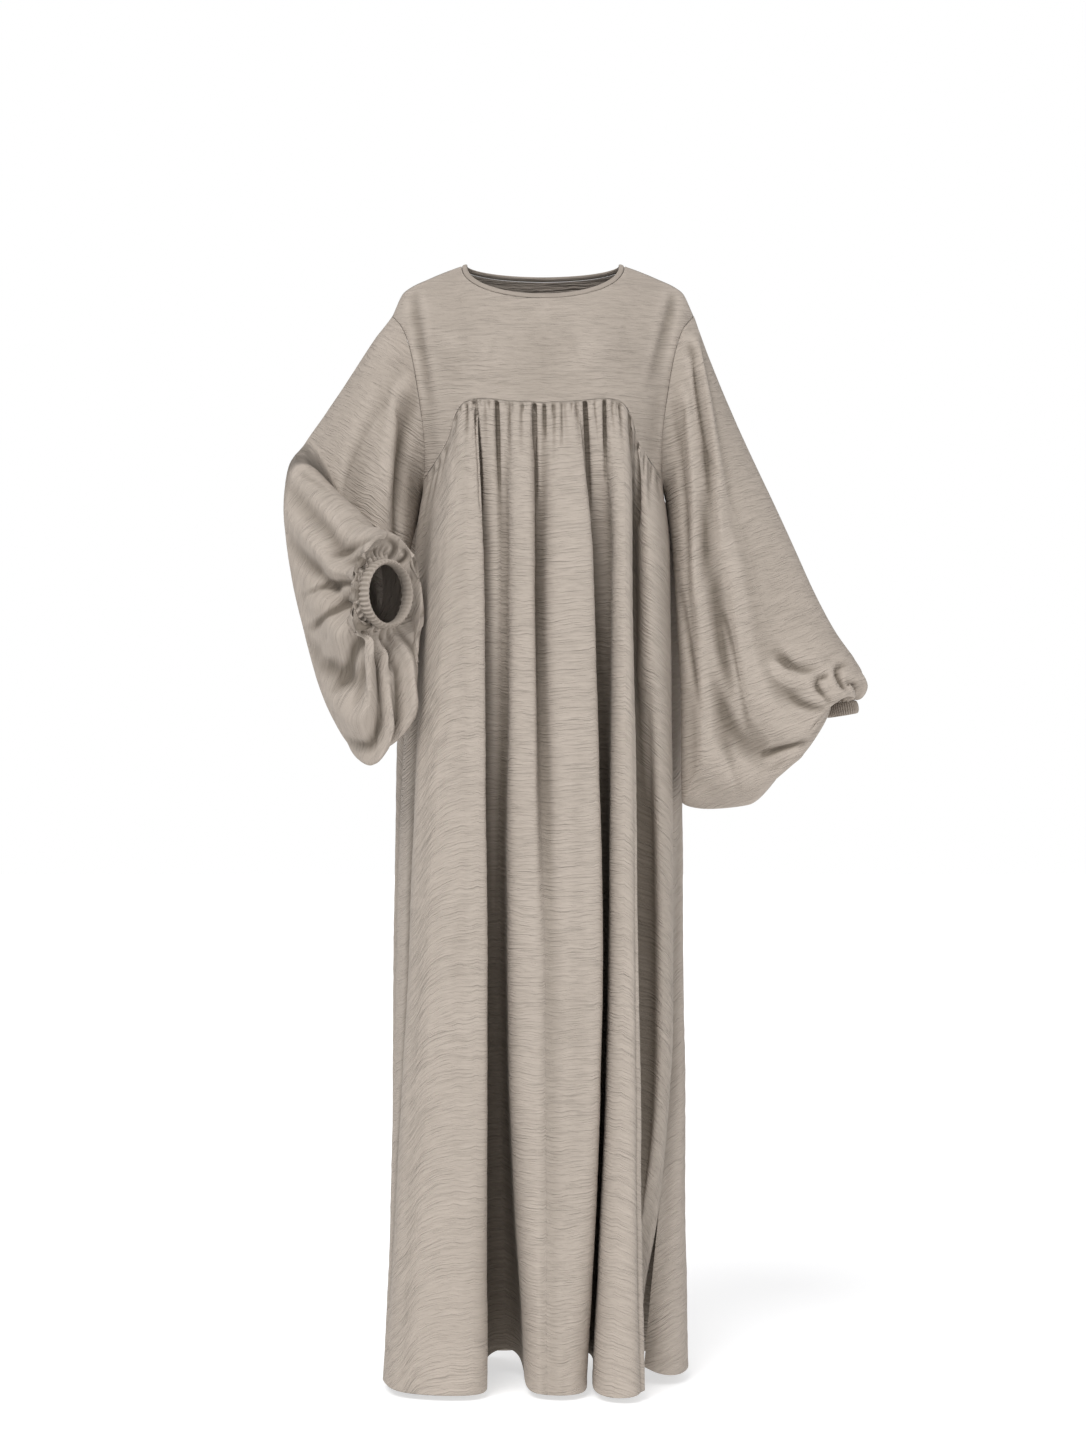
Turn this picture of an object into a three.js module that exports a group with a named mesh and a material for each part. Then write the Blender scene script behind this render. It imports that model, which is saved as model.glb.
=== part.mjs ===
// A long abaya of crinkled crepe with a smooth yoke, a gathered skirt and balloon sleeves on elastic cuffs.
// Millimetres, +Z up, the front faces -Y. The origin is midway between the two high shoulder points.
import * as THREE from 'three';

// Cloth and seams
const CLOTH = 1.6;
const GAP = 0.3;
const CASING_WALL = 2.6;
const CLOTH_COLOUR = 0xb0a597;
const TRIM_COLOUR = 0xa2978a;

// The figure that the yoke rounds: a ridge along the shoulders, a chest in front and a back behind
const FIGURE = {
  ridgeY: 10, chest: 181, back: 125, reach: 250, power: 0.6, square: 2.6, ridgeBlend: 5, sideBlend: 2,
};
const RIDGE = [
  { x: 0, z: 22 }, { x: 60, z: 14 }, { x: 107, z: 0 }, { x: 148, z: -16 }, { x: 182, z: -34 }, { x: 198, z: -66 },
];
const SIDES = [
  { z: -288, halfWidth: 157 }, { z: -260, halfWidth: 160.5 }, { z: -220, halfWidth: 167 },
  { z: -170, halfWidth: 176 }, { z: -123, halfWidth: 187 }, { z: -66, halfWidth: 204 },
];
const BUST = { x: 60, z: -126, wide: 44, high: 40, out: 8 };
const TROUGH = [
  { z: -290, x: 139 }, { z: -210, x: 146 }, { z: -154, x: 151 }, { z: -99, x: 162 }, { z: -43, x: 173 },
];
const TROUGH_DEPTH = 3.5;
const TROUGH_WIDTH = 9;
const TROUGH_ENDS = { top: 60, low: 290, reach: 60 };

// Neckline, armhole and yoke seam
const NECK = { halfWidth: 107, frontDrop: 52, backDrop: 16, roundness: 0.9, share: 0.5 };
const SHOULDER_END = { x: 198, z: -66 };
const ARMHOLE = [
  { z: -288, x: 157 }, { z: -276, x: 154 }, { z: -255, x: 153.5 }, { z: -220, x: 155.5 }, { z: -170, x: 162 },
  { z: -123, x: 170.5 }, { z: -100, x: 177 }, { z: -84, x: 184 }, { z: -66, x: 198 },
];
const YOKE_SEAM = [
  { x: 0, z: -192 }, { x: 40, z: -190 }, { x: 80, z: -186 }, { x: 100, z: -190 }, { x: 112, z: -206 },
  { x: 121, z: -236 }, { x: 136, z: -261 }, { x: 157, z: -288 },
];
const YOKE_ROWS = [0, 0.08, 0.18, 0.3, 0.44, 0.58, 0.72, 0.85, 0.94, 1];
const YOKE_HALF_COLUMNS = 12;

// Skirt levels: every fold row gives its place at the seam, hip, knee and hem
const HIP_Z = -380;
const KNEE_Z = -950;
const HEM_Z = -1450;
const SKIRT_ROWS = [0, 0.012, 0.04, 0.09, 0.19, 0.42, 0.7, 0.9, 1];
const SPRING = { out: 5, rise: 12, drop: 34 };
const SEAM_HOLD = { drop: 30, turn: 0.02 };

const FRONT_FOLDS = table(
  ['seam', 'hipX', 'hipY', 'kneeX', 'kneeY', 'hemX', 'hemY', 'rise'],
  [
    [-157, -167, 6, -193, 14, -190, 24, 8], // side seam of the right side
    [-153, -167, -26, -190, -20, -203, -22, 6],
    [-147, -163, -58, -181, -50, -207, -62, 6],
    [-139, -154, -82, -173, -70, -204, -84, 5],
    [-130, -146, -104, -174, -100, -197, -108, 3],
    [-122, -139, -122, -165, -126, -184, -126, 1],
    [-112, -124, -133, -146, -141, -163, -139, 0], // wide outer fold
    [-103, -108, -138, -122, -148, -135, -147, 0],
    [-95, -93, -141, -98, -151, -107, -149, 0],
    [-88, -81, -141, -80, -151, -86, -143, 0],
    [-85, -76, -135, -71, -143, -73, -125, 0], // its turned edge
    [-84.5, -80, -121, -76, -115, -72, -95, 4],
    [-82, -79, -111, -80, -84, -78, -50, 12],
    [-76, -71, -113, -74, -64, -74, -12, 22],
    [-66, -62, -118, -64, -58, -60, 6, 28], // deep recess
    [-58, -53, -117, -54, -60, -44, 8, 30],
    [-49, -45, -120, -48, -78, -31, -12, 24],
    [-43, -42, -128, -45, -106, -25, -52, 12],
    [-36, -36, -137, -40, -129, -23, -92, 5], // centre fold, first strip
    [-26, -25, -141, -28, -142, -17, -121, 1],
    [-17, -15, -140, -14, -147, -8, -136, 0],
    [-12.5, -11, -131, -5, -147, -1, -141, 0],
    [-11, -12, -117, 1, -145, 4, -144, 0],
    [-5, -7, -113, 6, -143, 8, -145.5, 0], // dip that fades by the knee
    [3, 1, -118, 12, -143.5, 14, -147, 0],
    [9, 7, -130, 20, -147, 20, -148, 0],
    [18, 17, -141, 31, -151, 27, -147, 0],
    [30, 34, -146, 46, -153, 36, -144, 0],
    [38, 50, -147, 60, -153.5, 45, -137, 0],
    [42.5, 60, -143, 70, -151, 52, -126, 0],
    [44.5, 62, -134, 75, -141, 56, -108, 2], // turned edge of the centre fold
    [45.5, 57, -118, 72, -112, 55, -78, 6],
    [49, 58, -106, 70, -72, 51, -36, 14],
    [56, 67, -104, 73, -42, 54, -2, 24],
    [66, 78, -107, 80, -42, 62, 6, 24], // narrow dark gap
    [76, 86, -112, 83, -72, 68, -30, 16],
    [83, 89, -124, 83, -112, 64, -84, 8],
    [89, 94, -134, 87, -140, 66, -128, 2],
    [97, 102, -138, 97, -155, 80, -155, 0], // narrow left fold
    [104, 109, -136, 109, -160, 99, -165, 0],
    [109, 113, -127, 118, -158, 117, -162, 2],
    [112, 113, -110, 121, -147, 127, -149, 5],
    [114, 112, -92, 118, -116, 128, -135, 7],
    [117, 115, -82, 117, -84, 127, -121, 9],
    [122, 121, -84, 124, -62, 126, -107, 11],
    [128, 125, -98, 136, -57, 125, -94, 13],
    [134, 133, -107, 147, -59, 124.5, -83, 14], // side fold
    [140, 142, -106, 155, -58, 124.5, -73, 15],
    [146, 152, -94, 162, -52, 125, -65, 15],
    [151, 159, -70, 167, -45, 126, -58, 16],
    [155, 164, -36, 169, -38, 128, -51, 16],
    [157, 167, 4, 168, -30, 131, -46, 16], // side seam of the left side
  ],
);

const BACK_FOLDS = table(
  ['seam', 'hipX', 'hipY', 'kneeX', 'kneeY', 'hemX', 'hemY', 'rise'],
  [
    [157, 167, 4.3, 168, -29.7, 131.3, -46, 16], // side seam of the left side
    [156, 178, 18, 168, -18, 141, -51, 12],
    [153, 183, 30, 172, -4, 153, -54.5, 8],
    [149, 183, 42, 179, 6, 167, -51, 6],
    [144, 176, 52, 184, 16, 179, -38, 6],
    [138, 166, 63, 185, 28, 187, -17, 7],
    [131, 156, 72, 182, 42, 190, 8, 8],
    [124, 148, 80, 176, 58, 187, 34, 8],
    [117, 140, 78, 166, 62, 178, 54, 12],
    [110, 131, 84, 157, 66, 166, 62, 16],
    [102, 123, 98, 149, 88, 156, 78, 12], // first back fold
    [95, 114, 108, 140, 106, 148, 104, 6],
    [88, 104, 112, 126, 116, 135, 124, 3],
    [81, 94, 110, 110, 117, 116, 133, 2],
    [75, 86, 102, 98, 108, 98, 128, 3],
    [70, 82, 90, 92, 90, 88, 106, 10],
    [63, 75, 86, 86, 72, 84, 76, 18],
    [56, 66, 92, 77, 70, 76, 58, 22],
    [49, 58, 104, 66, 86, 62, 66, 16], // second back fold
    [41, 50, 114, 60, 108, 54, 100, 8],
    [32, 40, 120, 48, 124, 44, 132, 2],
    [22, 28, 121, 32, 131, 26, 146, 0],
    [13, 17, 116, 17, 129, 8, 147, 0],
    [7, 9, 105, 8, 116, -4, 134, 4],
    [1, 5, 93, 4, 94, -8, 104, 12],
    [-6, -2, 90, -3, 80, -12, 74, 20],
    [-13, -11, 97, -13, 84, -24, 66, 22],
    [-21, -20, 109, -22, 104, -36, 84, 14], // third back fold
    [-30, -30, 118, -33, 122, -44, 112, 6],
    [-40, -42, 122, -50, 132, -60, 136, 1],
    [-49, -54, 120, -67, 132, -82, 142, 0],
    [-57, -65, 112, -82, 124, -100, 134, 2],
    [-64, -72, 98, -91, 104, -110, 110, 10],
    [-71, -79, 90, -97, 84, -114, 82, 18],
    [-79, -88, 92, -107, 76, -122, 62, 22],
    [-88, -98, 102, -118, 88, -134, 66, 16], // fourth back fold
    [-97, -108, 110, -128, 104, -142, 88, 8],
    [-106, -120, 110, -142, 112, -154, 108, 3],
    [-114, -131, 104, -157, 108, -172, 112, 2],
    [-121, -141, 94, -170, 96, -187, 104, 3],
    [-128, -150, 84, -180, 80, -198, 86, 5],
    [-135, -158, 72, -188, 62, -204, 64, 6],
    [-143, -178, 56, -195, 46, -204, 48, 7],
    [-150, -184, 36, -197, 30, -198, 36, 8],
    [-157, -167, 6.3, -193, 14.3, -190, 24.3, 8], // side seam of the right side
  ],
);

// Gathers along the yoke seam: place, depth, and how far down each one runs
const FRONT_GATHERS = table(
  ['at', 'depth', 'run'],
  [
    [-150, 2.5, 50], [-143, 3.5, 70], [-134, 4, 60], [-123.5, 5, 80], [-111, 4.5, 60], [-98, 4, 55],
    [-86, 5.5, 120], [-74, 4, 60], [-60, 5.5, 110], [-43, 4.5, 70], [-28, 4, 60], [-13, 5.5, 110],
    [1, 4, 60], [15, 4.5, 70], [28, 4, 55], [42, 5, 60], [54, 5, 90], [66, 4, 60], [79, 5.5, 100],
    [89, 4, 50], [99, 4, 55], [111, 5, 70], [120, 4.5, 90], [128, 3.5, 50], [137, 4, 80], [148, 2.5, 50],
  ],
);
const BACK_GATHERS = table(
  ['at', 'depth', 'run'],
  [
    [149, 2.5, 50], [138, 4, 70], [128, 3.5, 60], [118, 4.5, 80], [106, 4, 60], [94, 4.5, 90],
    [83, 4, 55], [70, 5.5, 110], [57, 4, 60], [45, 4.5, 70], [31, 4, 60], [17, 4.5, 80], [3, 5.5, 110],
    [-11, 4, 60], [-24, 4.5, 70], [-37, 4, 55], [-50, 4.5, 80], [-64, 5.5, 110], [-77, 4, 60],
    [-89, 4.5, 70], [-101, 4, 60], [-113, 4.5, 90], [-124, 4, 60], [-135, 4, 70], [-147, 2.5, 50],
  ],
);
const GATHER_WIDTH = 3.6;
const GATHER_START = 10;

// Sleeve sections. Each hangs from the arm's upper line at (topX, topY, topZ) to (lowX, lowY, lowZ),
// widest at the share "wide" of the way down, by "out" and "in" to the side that "turn" degrees give
const SLEEVE_COLUMNS = [
  'topX', 'topY', 'topZ', 'lowX', 'lowY', 'lowZ', 'wide', 'out', 'in', 'turn',
];
const SLEEVES = {
  right: {
    side: -1,
    rings: table(SLEEVE_COLUMNS, [
      [-198, 6, -66, -157, 10, -288, 0.5, 56, 54, 0],
      [-216, 4, -90, -162, 5, -322, 0.42, 58, 58, 0],
      [-247, 4, -138, -174, -34, -382, 0.34, 56, 56, 0],
      [-282, 5, -190, -185, -46, -444, 0.3, 54, 56, -4],
      [-311, 2, -232, -196, -52, -512, 0.3, 50, 52, -20],
      [-322, -12, -252, -232, -52, -588, 0.34, 46, 34, -62],
      [-310, -38, -264, -243, -78, -624, 0.36, 48, 43, -98],
      [-284, -72, -290, -229, -106, -641, 0.36, 50, 44, -112],
      [-254, -108, -320, -214, -128, -645, 0.36, 54, 42, -114],
      [-226, -132, -348, -200, -140, -634, 0.38, 50, 42, -112],
      [-206, -146, -354, -188, -146, -598, 0.4, 46, 44, -114],
      [-196, -156, -361, -189, -152, -542, 0.44, 46, 50, -124],
      [-208.6, -156.6, -384, -208.6, -156.6, -491, 0.5, 45, 42, -136],
      [-204, -160, -397, -204, -160, -477, 0.5, 38, 38, -136],
    ]),
    folds: table(
      ['from', 'to', 'fromAngle', 'toAngle', 'width', 'depth'],
      [
        [0.2, 2.8, 70, 138, 9, 8], // the drape's edge in front of the armhole
        [0.2, 3.0, 92, 158, 10, -9],
        [1.2, 5.2, 80, 112, 12, -7], // shoulder to crook
        [1.6, 5.2, 110, 146, 11, 7],
        [1.0, 5.4, 232, 222, 16, -8], // behind the upper arm
        [2.0, 6.0, 284, 272, 15, -8],
        [5.6, 12.2, 322, 304, 10, -9], // along the forearm into the cuff
        [6.0, 12.4, 302, 288, 8, 9],
        [6.2, 12.2, 284, 272, 8, -12],
        [6.8, 12.4, 264, 256, 7, 10],
        [6.0, 12.2, 242, 238, 8, -13],
        [6.8, 12.4, 222, 220, 7, 10],
        [6.4, 12.2, 200, 202, 8, -12],
        [5.6, 12.4, 184, 186, 6, 11],
        [5.8, 12.2, 166, 170, 7, -13],
        [6.4, 12.4, 140, 148, 9, 9],
        [6.2, 12.2, 104, 112, 10, -9],
        [6.8, 12.2, 52, 60, 10, 8],
      ],
    ),
    cuff: { depth: 18, alongX: 0.719, alongY: -0.695, alongZ: 0 },
  },
  left: {
    side: 1,
    rings: table(SLEEVE_COLUMNS, [
      [198, 6, -66, 157, 10, -288, 0.5, 56, 54, 0],
      [206, 4, -90, 162, 2, -316, 0.45, 57, 57, 0],
      [230, 0, -152, 168, -16, -370, 0.38, 54, 56, 0],
      [264, -4, -230, 173, -28, -460, 0.32, 50, 54, 0],
      [297, -8, -304, 179, -30, -570, 0.28, 48, 54, 0],
      [329, -12, -376, 180.5, -32, -702, 0.28, 52, 56, 0],
      [355, -16, -433, 214, -34, -711, 0.3, 60, 60, 0],
      [381, -20, -481, 266, -38, -706, 0.36, 70, 66, 0],
      [404, -24, -514, 309, -40, -664, 0.38, 72, 66, 0],
      [415, -27, -534, 337, -38, -616, 0.36, 64, 60, 0],
      [416, -29, -548, 352, -34, -588, 0.36, 49, 50, 0],
      [413, -30, -561, 360, -31, -573, 0.44, 41, 43, 0],
      [405, -30, -570, 369, -30, -576, 0.5, 34, 34, 0],
    ]),
    folds: table(
      ['from', 'to', 'fromAngle', 'toAngle', 'width', 'depth'],
      [
        [0.2, 3.6, 22, 112, 9, 9], // long pleat from the shoulder
        [2.2, 7.6, 98, 113, 8, 9],
        [0.5, 3.4, 38, 126, 9, -8],
        [2.4, 7.6, 112, 126, 9, -9],
        [0.5, 3.4, 80, 136, 8, 7], // second pleat by the armhole
        [2.4, 6.8, 130, 141, 8, 7],
        [8.0, 11.8, 62, 58, 7, -14], // curls above the cuff
        [7.2, 11.8, 84, 82, 8, 9],
        [7.8, 11.8, 108, 104, 7, -15],
        [6.8, 11.4, 138, 136, 10, 9],
        [8.6, 11.8, 36, 34, 9, 8],
        [0.4, 7.0, 330, 262, 14, -8], // behind
        [1.4, 7.6, 300, 236, 14, 7],
        [6.8, 11.8, 212, 216, 11, -11],
        [7.0, 11.8, 250, 250, 10, 9],
        [7.2, 11.8, 300, 294, 11, -10],
      ],
    ),
    cuff: { depth: 17, alongX: 0.164, alongY: 0, alongZ: -0.986 },
  },
};
const SLEEVE_START = 0.35;
const SLEEVE_COARSE = 32;
const SLEEVE_FINE = 72;
const CUFF_GATHERS = { count: 18, depth: 4.6, reach: 2.6, onset: 0.25 };
const CUFF_SIDES = 40;
const CUFF_RUCHES = { count: 20, depth: 0.5, crown: 1.6, edge: 0.4 };
const CUFF_ROWS = [0, 0.3, 0.7, 1];
const BINDING = { width: 7, thick: 3.6, sides: 6, seat: 0.7 };

// Turns rows of numbers into rows with named columns
function table(columns, rows) {
  return rows.map((row) => Object.fromEntries(columns.map((name, i) => [name, row[i]])));
}

// A smooth curve through the keys that never swings past them
function smooth(keys, values) {
  const last = keys.length - 1;
  const slope = keys.slice(1).map((key, i) => (values[i + 1] - values[i]) / (key - keys[i]));
  const tangent = keys.map((key, i) => {
    if (i === 0) return slope[0];
    if (i === last) return slope[last - 1];
    const product = slope[i - 1] * slope[i];
    return product <= 0 ? 0 : (2 * product) / (slope[i - 1] + slope[i]);
  });
  return (at) => {
    if (at <= keys[0]) return values[0];
    if (at >= keys[last]) return values[last];
    let i = 0;
    while (at > keys[i + 1]) i += 1;
    const span = keys[i + 1] - keys[i];
    const t = (at - keys[i]) / span;
    const a = values[i] * (1 + 2 * t) * (1 - t) ** 2 + tangent[i] * span * t * (1 - t) ** 2;
    return a + values[i + 1] * t * t * (3 - 2 * t) + tangent[i + 1] * span * t * t * (t - 1);
  };
}

function column(rows, key, value) {
  return smooth(rows.map((row) => row[key]), rows.map((row) => row[value]));
}

function mix(a, b, t) {
  return a + (b - a) * t;
}

function ease(t) {
  const c = Math.min(1, Math.max(0, t));
  return c * c * (3 - 2 * c);
}

function bell(offset, width) {
  return Math.exp(-((offset / width) ** 2));
}

const ridgeZ = column(RIDGE, 'x', 'z');
const halfWidthAt = column(SIDES, 'z', 'halfWidth');
const armholeX = column(ARMHOLE, 'z', 'x');
const troughX = column(TROUGH, 'z', 'x');

// How far the figure stands in front of the shoulder ridge (facing -1) or behind it (facing 1)
function figureY(x, z, facing) {
  const across = Math.abs(x);
  const below = Math.max(0, ridgeZ(across) - z);
  const falloff = (1 - Math.exp(-below / FIGURE.reach)) ** FIGURE.power;
  const share = Math.min(1, across / halfWidthAt(z)) ** FIGURE.square;
  const round = Math.max(0, 1 - share) ** (1 / FIGURE.square);
  const size = facing < 0 ? FIGURE.chest : FIGURE.back;
  const bust = facing < 0 ? BUST.out * bell(across - BUST.x, BUST.wide) * bell(z - BUST.z, BUST.high) : 0;
  const dentEnds = ease(below / TROUGH_ENDS.top) * ease((z + TROUGH_ENDS.low) / TROUGH_ENDS.reach);
  const dent = TROUGH_DEPTH * bell(across - troughX(z), TROUGH_WIDTH) * dentEnds;
  return FIGURE.ridgeY + facing * (GAP / 2 + size * round * falloff + bust - dent);
}

// The outward direction of the figure: level across the shoulder ridge, sideways under the arms
function figureNormal(x, z, facing) {
  const d = 0.5;
  const across = Math.abs(x);
  const below = ridgeZ(across) - z;
  const low = Math.min(z, ridgeZ(across) - 2 * d);
  const slopeX = (figureY(x + d, low, facing) - figureY(x - d, low, facing)) / (2 * d);
  const slopeZ = (figureY(x, low + d, facing) - figureY(x, low - d, facing)) / (2 * d);
  const normal = new THREE.Vector3(-facing * slopeX, facing, -facing * slopeZ).normalize();
  const fall = (ridgeZ(across + d) - ridgeZ(across - d)) / (2 * d);
  const ridge = new THREE.Vector3(-Math.sign(x) * fall, 0, 1).normalize();
  const aside = new THREE.Vector3(Math.sign(x), 0, 0);
  const room = halfWidthAt(z) - across;
  return normal.lerp(ridge, 1 - ease(below / FIGURE.ridgeBlend)).lerp(aside, 1 - ease(room / FIGURE.sideBlend)).normalize();
}

// The yoke seam by its share of length from the centre (0) to the side (1)
const seamLengths = YOKE_SEAM.reduce((sum, p, i) => {
  const before = YOKE_SEAM[i - 1];
  return [...sum, i ? sum[i - 1] + Math.hypot(p.x - before.x, p.z - before.z) : 0];
}, []);
const seamShares = seamLengths.map((length) => length / seamLengths[seamLengths.length - 1]);
const seamX = smooth(seamShares, YOKE_SEAM.map((p) => p.x));
const seamZ = smooth(seamShares, YOKE_SEAM.map((p) => p.z));

function seamShareAt(x) {
  let low = 0;
  let high = 1;
  for (let i = 0; i < 40; i += 1) {
    const middle = (low + high) / 2;
    if (seamX(middle) < Math.abs(x)) low = middle;
    else high = middle;
  }
  return (low + high) / 2;
}

// A point of the yoke, from its top edge (drop 0) to its seam (drop 1); share runs -1 to 1 across
function yokePoint(share, drop, facing) {
  const s = Math.abs(share);
  const angle = Math.min(1, s / NECK.share) * (Math.PI / 2);
  const neckDrop = facing < 0 ? NECK.frontDrop : NECK.backDrop;
  const along = Math.max(0, (s - NECK.share) / (1 - NECK.share));
  const topX = s <= NECK.share ? NECK.halfWidth * Math.sin(angle) : mix(NECK.halfWidth, SHOULDER_END.x, along);
  const neckZ = -neckDrop * Math.max(0, Math.cos(angle)) ** NECK.roundness;
  const topZ = s <= NECK.share ? neckZ : ridgeZ(topX);
  const z = mix(topZ, seamZ(s), drop);
  const swing = armholeX(z) - mix(SHOULDER_END.x, seamX(1), drop);
  const x = mix(topX, seamX(s), drop) + swing * along ** 2;
  return { x: Math.sign(share) * x, z };
}

function yokeSurface(share, drop, facing) {
  const { x, z } = yokePoint(share, drop, facing);
  return new THREE.Vector3(x, figureY(x, z, facing), z);
}

// Joins two rows of points that run side by side, whatever their counts
function stitch(faces, a, b, flip) {
  let i = 0;
  let j = 0;
  while (i < a.length - 1 || j < b.length - 1) {
    const first = j === b.length - 1 || (i < a.length - 1 && a[i + 1].u <= b[j + 1].u + 1e-9);
    const face = first ? [a[i].id, a[i + 1].id, b[j].id] : [a[i].id, b[j + 1].id, b[j].id];
    faces.push(flip ? [face[0], face[2], face[1]] : face);
    if (first) i += 1;
    else j += 1;
  }
}

// A closed wall of cloth from rows of { u, outer, inner } points; a tube's rows close on themselves
function wallGeometry(rows, tube) {
  const points = [];
  const faces = [];
  const add = (p) => points.push(p.x, p.y, p.z) / 3 - 1;
  const skins = rows.map((row) => {
    const outer = row.map((p) => ({ u: p.u, id: add(p.outer) }));
    const inner = row.map((p) => ({ u: p.u, id: add(p.inner) }));
    if (tube) {
      outer.push({ u: 1, id: outer[0].id });
      inner.push({ u: 1, id: inner[0].id });
    }
    return { outer, inner };
  });
  for (let k = 0; k < skins.length - 1; k += 1) {
    stitch(faces, skins[k].outer, skins[k + 1].outer, false);
    stitch(faces, skins[k].inner, skins[k + 1].inner, true);
  }
  const end = skins[skins.length - 1];
  stitch(faces, skins[0].outer, skins[0].inner, true);
  stitch(faces, end.outer, end.inner, false);
  if (!tube) {
    const edge = (name, last) => skins.map((row, k) => ({
      u: k, id: row[name][last ? row[name].length - 1 : 0].id,
    }));
    stitch(faces, edge('outer', false), edge('inner', false), false);
    stitch(faces, edge('outer', true), edge('inner', true), true);
  }
  return solid(points, faces);
}

// Makes the geometry, turned the right way out by the sign of its volume
function solid(points, faces) {
  const at = (i) => new THREE.Vector3(points[3 * i], points[3 * i + 1], points[3 * i + 2]);
  const volume = faces.reduce((sum, [a, b, c]) => sum + at(a).dot(at(b).cross(at(c))), 0);
  const index = faces.flatMap(([a, b, c]) => (volume > 0 ? [a, b, c] : [a, c, b]));
  const geometry = new THREE.BufferGeometry();
  geometry.setAttribute('position', new THREE.Float32BufferAttribute(points, 3));
  geometry.setIndex(index);
  geometry.computeVertexNormals();
  return geometry;
}

// The columns of a panel's upper edge: four to each gather, from one side seam to the other
function gatherStations(gathers, end) {
  const stops = [-end, ...gathers.map((g) => g.at), end].sort((a, b) => a - b);
  const places = [];
  for (let i = 0; i < stops.length - 1; i += 1) {
    for (let q = 0; q < 4; q += 1) places.push(mix(stops[i], stops[i + 1], q / 4));
  }
  places.push(end);
  return places;
}

// The cut edges on both sides of the yoke seam, each half a gap from it
function seamEdge(x, facing, downwards) {
  const share = seamShareAt(x);
  const d = 0.002;
  const before = Math.max(0, share - d);
  const after = Math.min(1, share + d);
  const runX = seamX(after) - seamX(before);
  const runZ = seamZ(after) - seamZ(before);
  const length = Math.hypot(runX, runZ);
  const half = (downwards ? 1 : -1) * (GAP / 2);
  const shiftX = Math.sign(x) * (runZ / length) * half;
  const shiftZ = (-runX / length) * half;
  const px = x + shiftX;
  const pz = seamZ(share) + shiftZ;
  return { x: px, z: pz, y: figureY(px, pz, facing), normal: figureNormal(px, pz, facing) };
}

function layer(u, outer, normal, wall) {
  return { u, outer, inner: outer.clone().addScaledVector(normal, -wall) };
}

// A yoke: smooth cloth from neckline and shoulders to the gathered seam
function yokeGeometry(facing, gathers) {
  const rows = YOKE_ROWS.map((drop, k) => {
    if (k === YOKE_ROWS.length - 1) {
      return gatherStations(gathers, YOKE_SEAM[YOKE_SEAM.length - 1].x).map((x) => {
        const edge = seamEdge(x, facing, false);
        const u = 0.5 + 0.5 * Math.sign(x) * seamShareAt(x);
        return layer(u, new THREE.Vector3(edge.x, edge.y, edge.z), edge.normal, CLOTH);
      });
    }
    return Array.from({ length: 2 * YOKE_HALF_COLUMNS + 1 }, (_, i) => {
      const share = i / YOKE_HALF_COLUMNS - 1;
      const { x, z } = yokePoint(share, drop, facing);
      const trimmed = Math.abs(share) === 1 ? x - Math.sign(x) * (GAP / 2) : x;
      const lowered = k === 0 && Math.abs(share) < NECK.share ? z - GAP / 2 : z;
      const outer = new THREE.Vector3(trimmed, figureY(trimmed, lowered, facing), lowered);
      return layer(0.5 + share / 2, outer, figureNormal(trimmed, lowered, facing), CLOTH);
    });
  });
  return wallGeometry(rows, false);
}

// The places of one fold row at height z, from the seam down through hip and knee to the hem
function foldTrack(fold, facing) {
  const share = seamShareAt(fold.seam);
  const top = seamZ(share);
  const hem = HEM_Z + fold.rise;
  const heights = [hem, KNEE_Z, HIP_Z, top];
  const seamY = figureY(fold.seam, top, facing);
  return {
    seam: fold.seam,
    hem,
    x: smooth(heights, [fold.hemX, fold.kneeX, fold.hipX, fold.seam]),
    y: smooth(heights, [fold.hemY, fold.kneeY, fold.hipY, seamY]),
  };
}

// The weights of a clamped cubic B-spline over the fold rows at parameter t
function splineAt(values, t) {
  const n = values.length;
  const pick = (i) => values[Math.min(n - 1, Math.max(0, i))];
  const i = Math.min(n, Math.floor(t));
  const f = t - i;
  const w0 = (1 - f) ** 3 / 6;
  const w1 = (3 * f ** 3 - 6 * f ** 2 + 4) / 6;
  const w2 = (-3 * f ** 3 + 3 * f ** 2 + 3 * f + 1) / 6;
  const w3 = f ** 3 / 6;
  return w0 * pick(i - 2) + w1 * pick(i - 1) + w2 * pick(i) + w3 * pick(i + 1);
}

// Where on the fold rows a place along the seam lies
function splineParameter(tracks, x) {
  const places = tracks.map((track) => track.seam);
  const rising = places[places.length - 1] > places[0];
  let low = 0;
  let high = places.length + 1;
  for (let i = 0; i < 50; i += 1) {
    const middle = (low + high) / 2;
    const reached = splineAt(places, middle) < x;
    if (reached === rising) low = middle;
    else high = middle;
  }
  return (low + high) / 2;
}

// A skirt panel: the fold rows give its large folds, the gathers its small ones under the seam
function skirtPoint(panel, t, station, row) {
  const { tracks, gathers, facing } = panel;
  const edge = seamEdge(station, facing, true);
  const hem = splineAt(tracks.map((track) => track.hem), t);
  const z = mix(edge.z, hem, row);
  const drop = edge.z - z;
  const folded = {
    x: splineAt(tracks.map((track) => track.x(z)), t),
    y: splineAt(tracks.map((track) => track.y(z)), t),
  };
  const own = ease(drop / SEAM_HOLD.drop);
  const spring = facing * SPRING.out * ease(drop / SPRING.rise) * Math.exp(-drop / SPRING.drop);
  const pleat = gathers.reduce((sum, g) => {
    const fade = ease(drop / GATHER_START) * Math.exp(-((drop / g.run) ** 2));
    return sum - g.depth * fade * bell(station - g.at, GATHER_WIDTH);
  }, 0);
  const along = edge.normal.clone().setZ(0).normalize();
  return new THREE.Vector3(
    mix(edge.x, folded.x, own) + along.x * pleat,
    mix(edge.y, folded.y, own) + spring + along.y * pleat,
    z,
  );
}

function skirtPanel(folds, gathers, facing) {
  return { tracks: folds.map((fold) => foldTrack(fold, facing)), gathers, facing };
}

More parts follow.
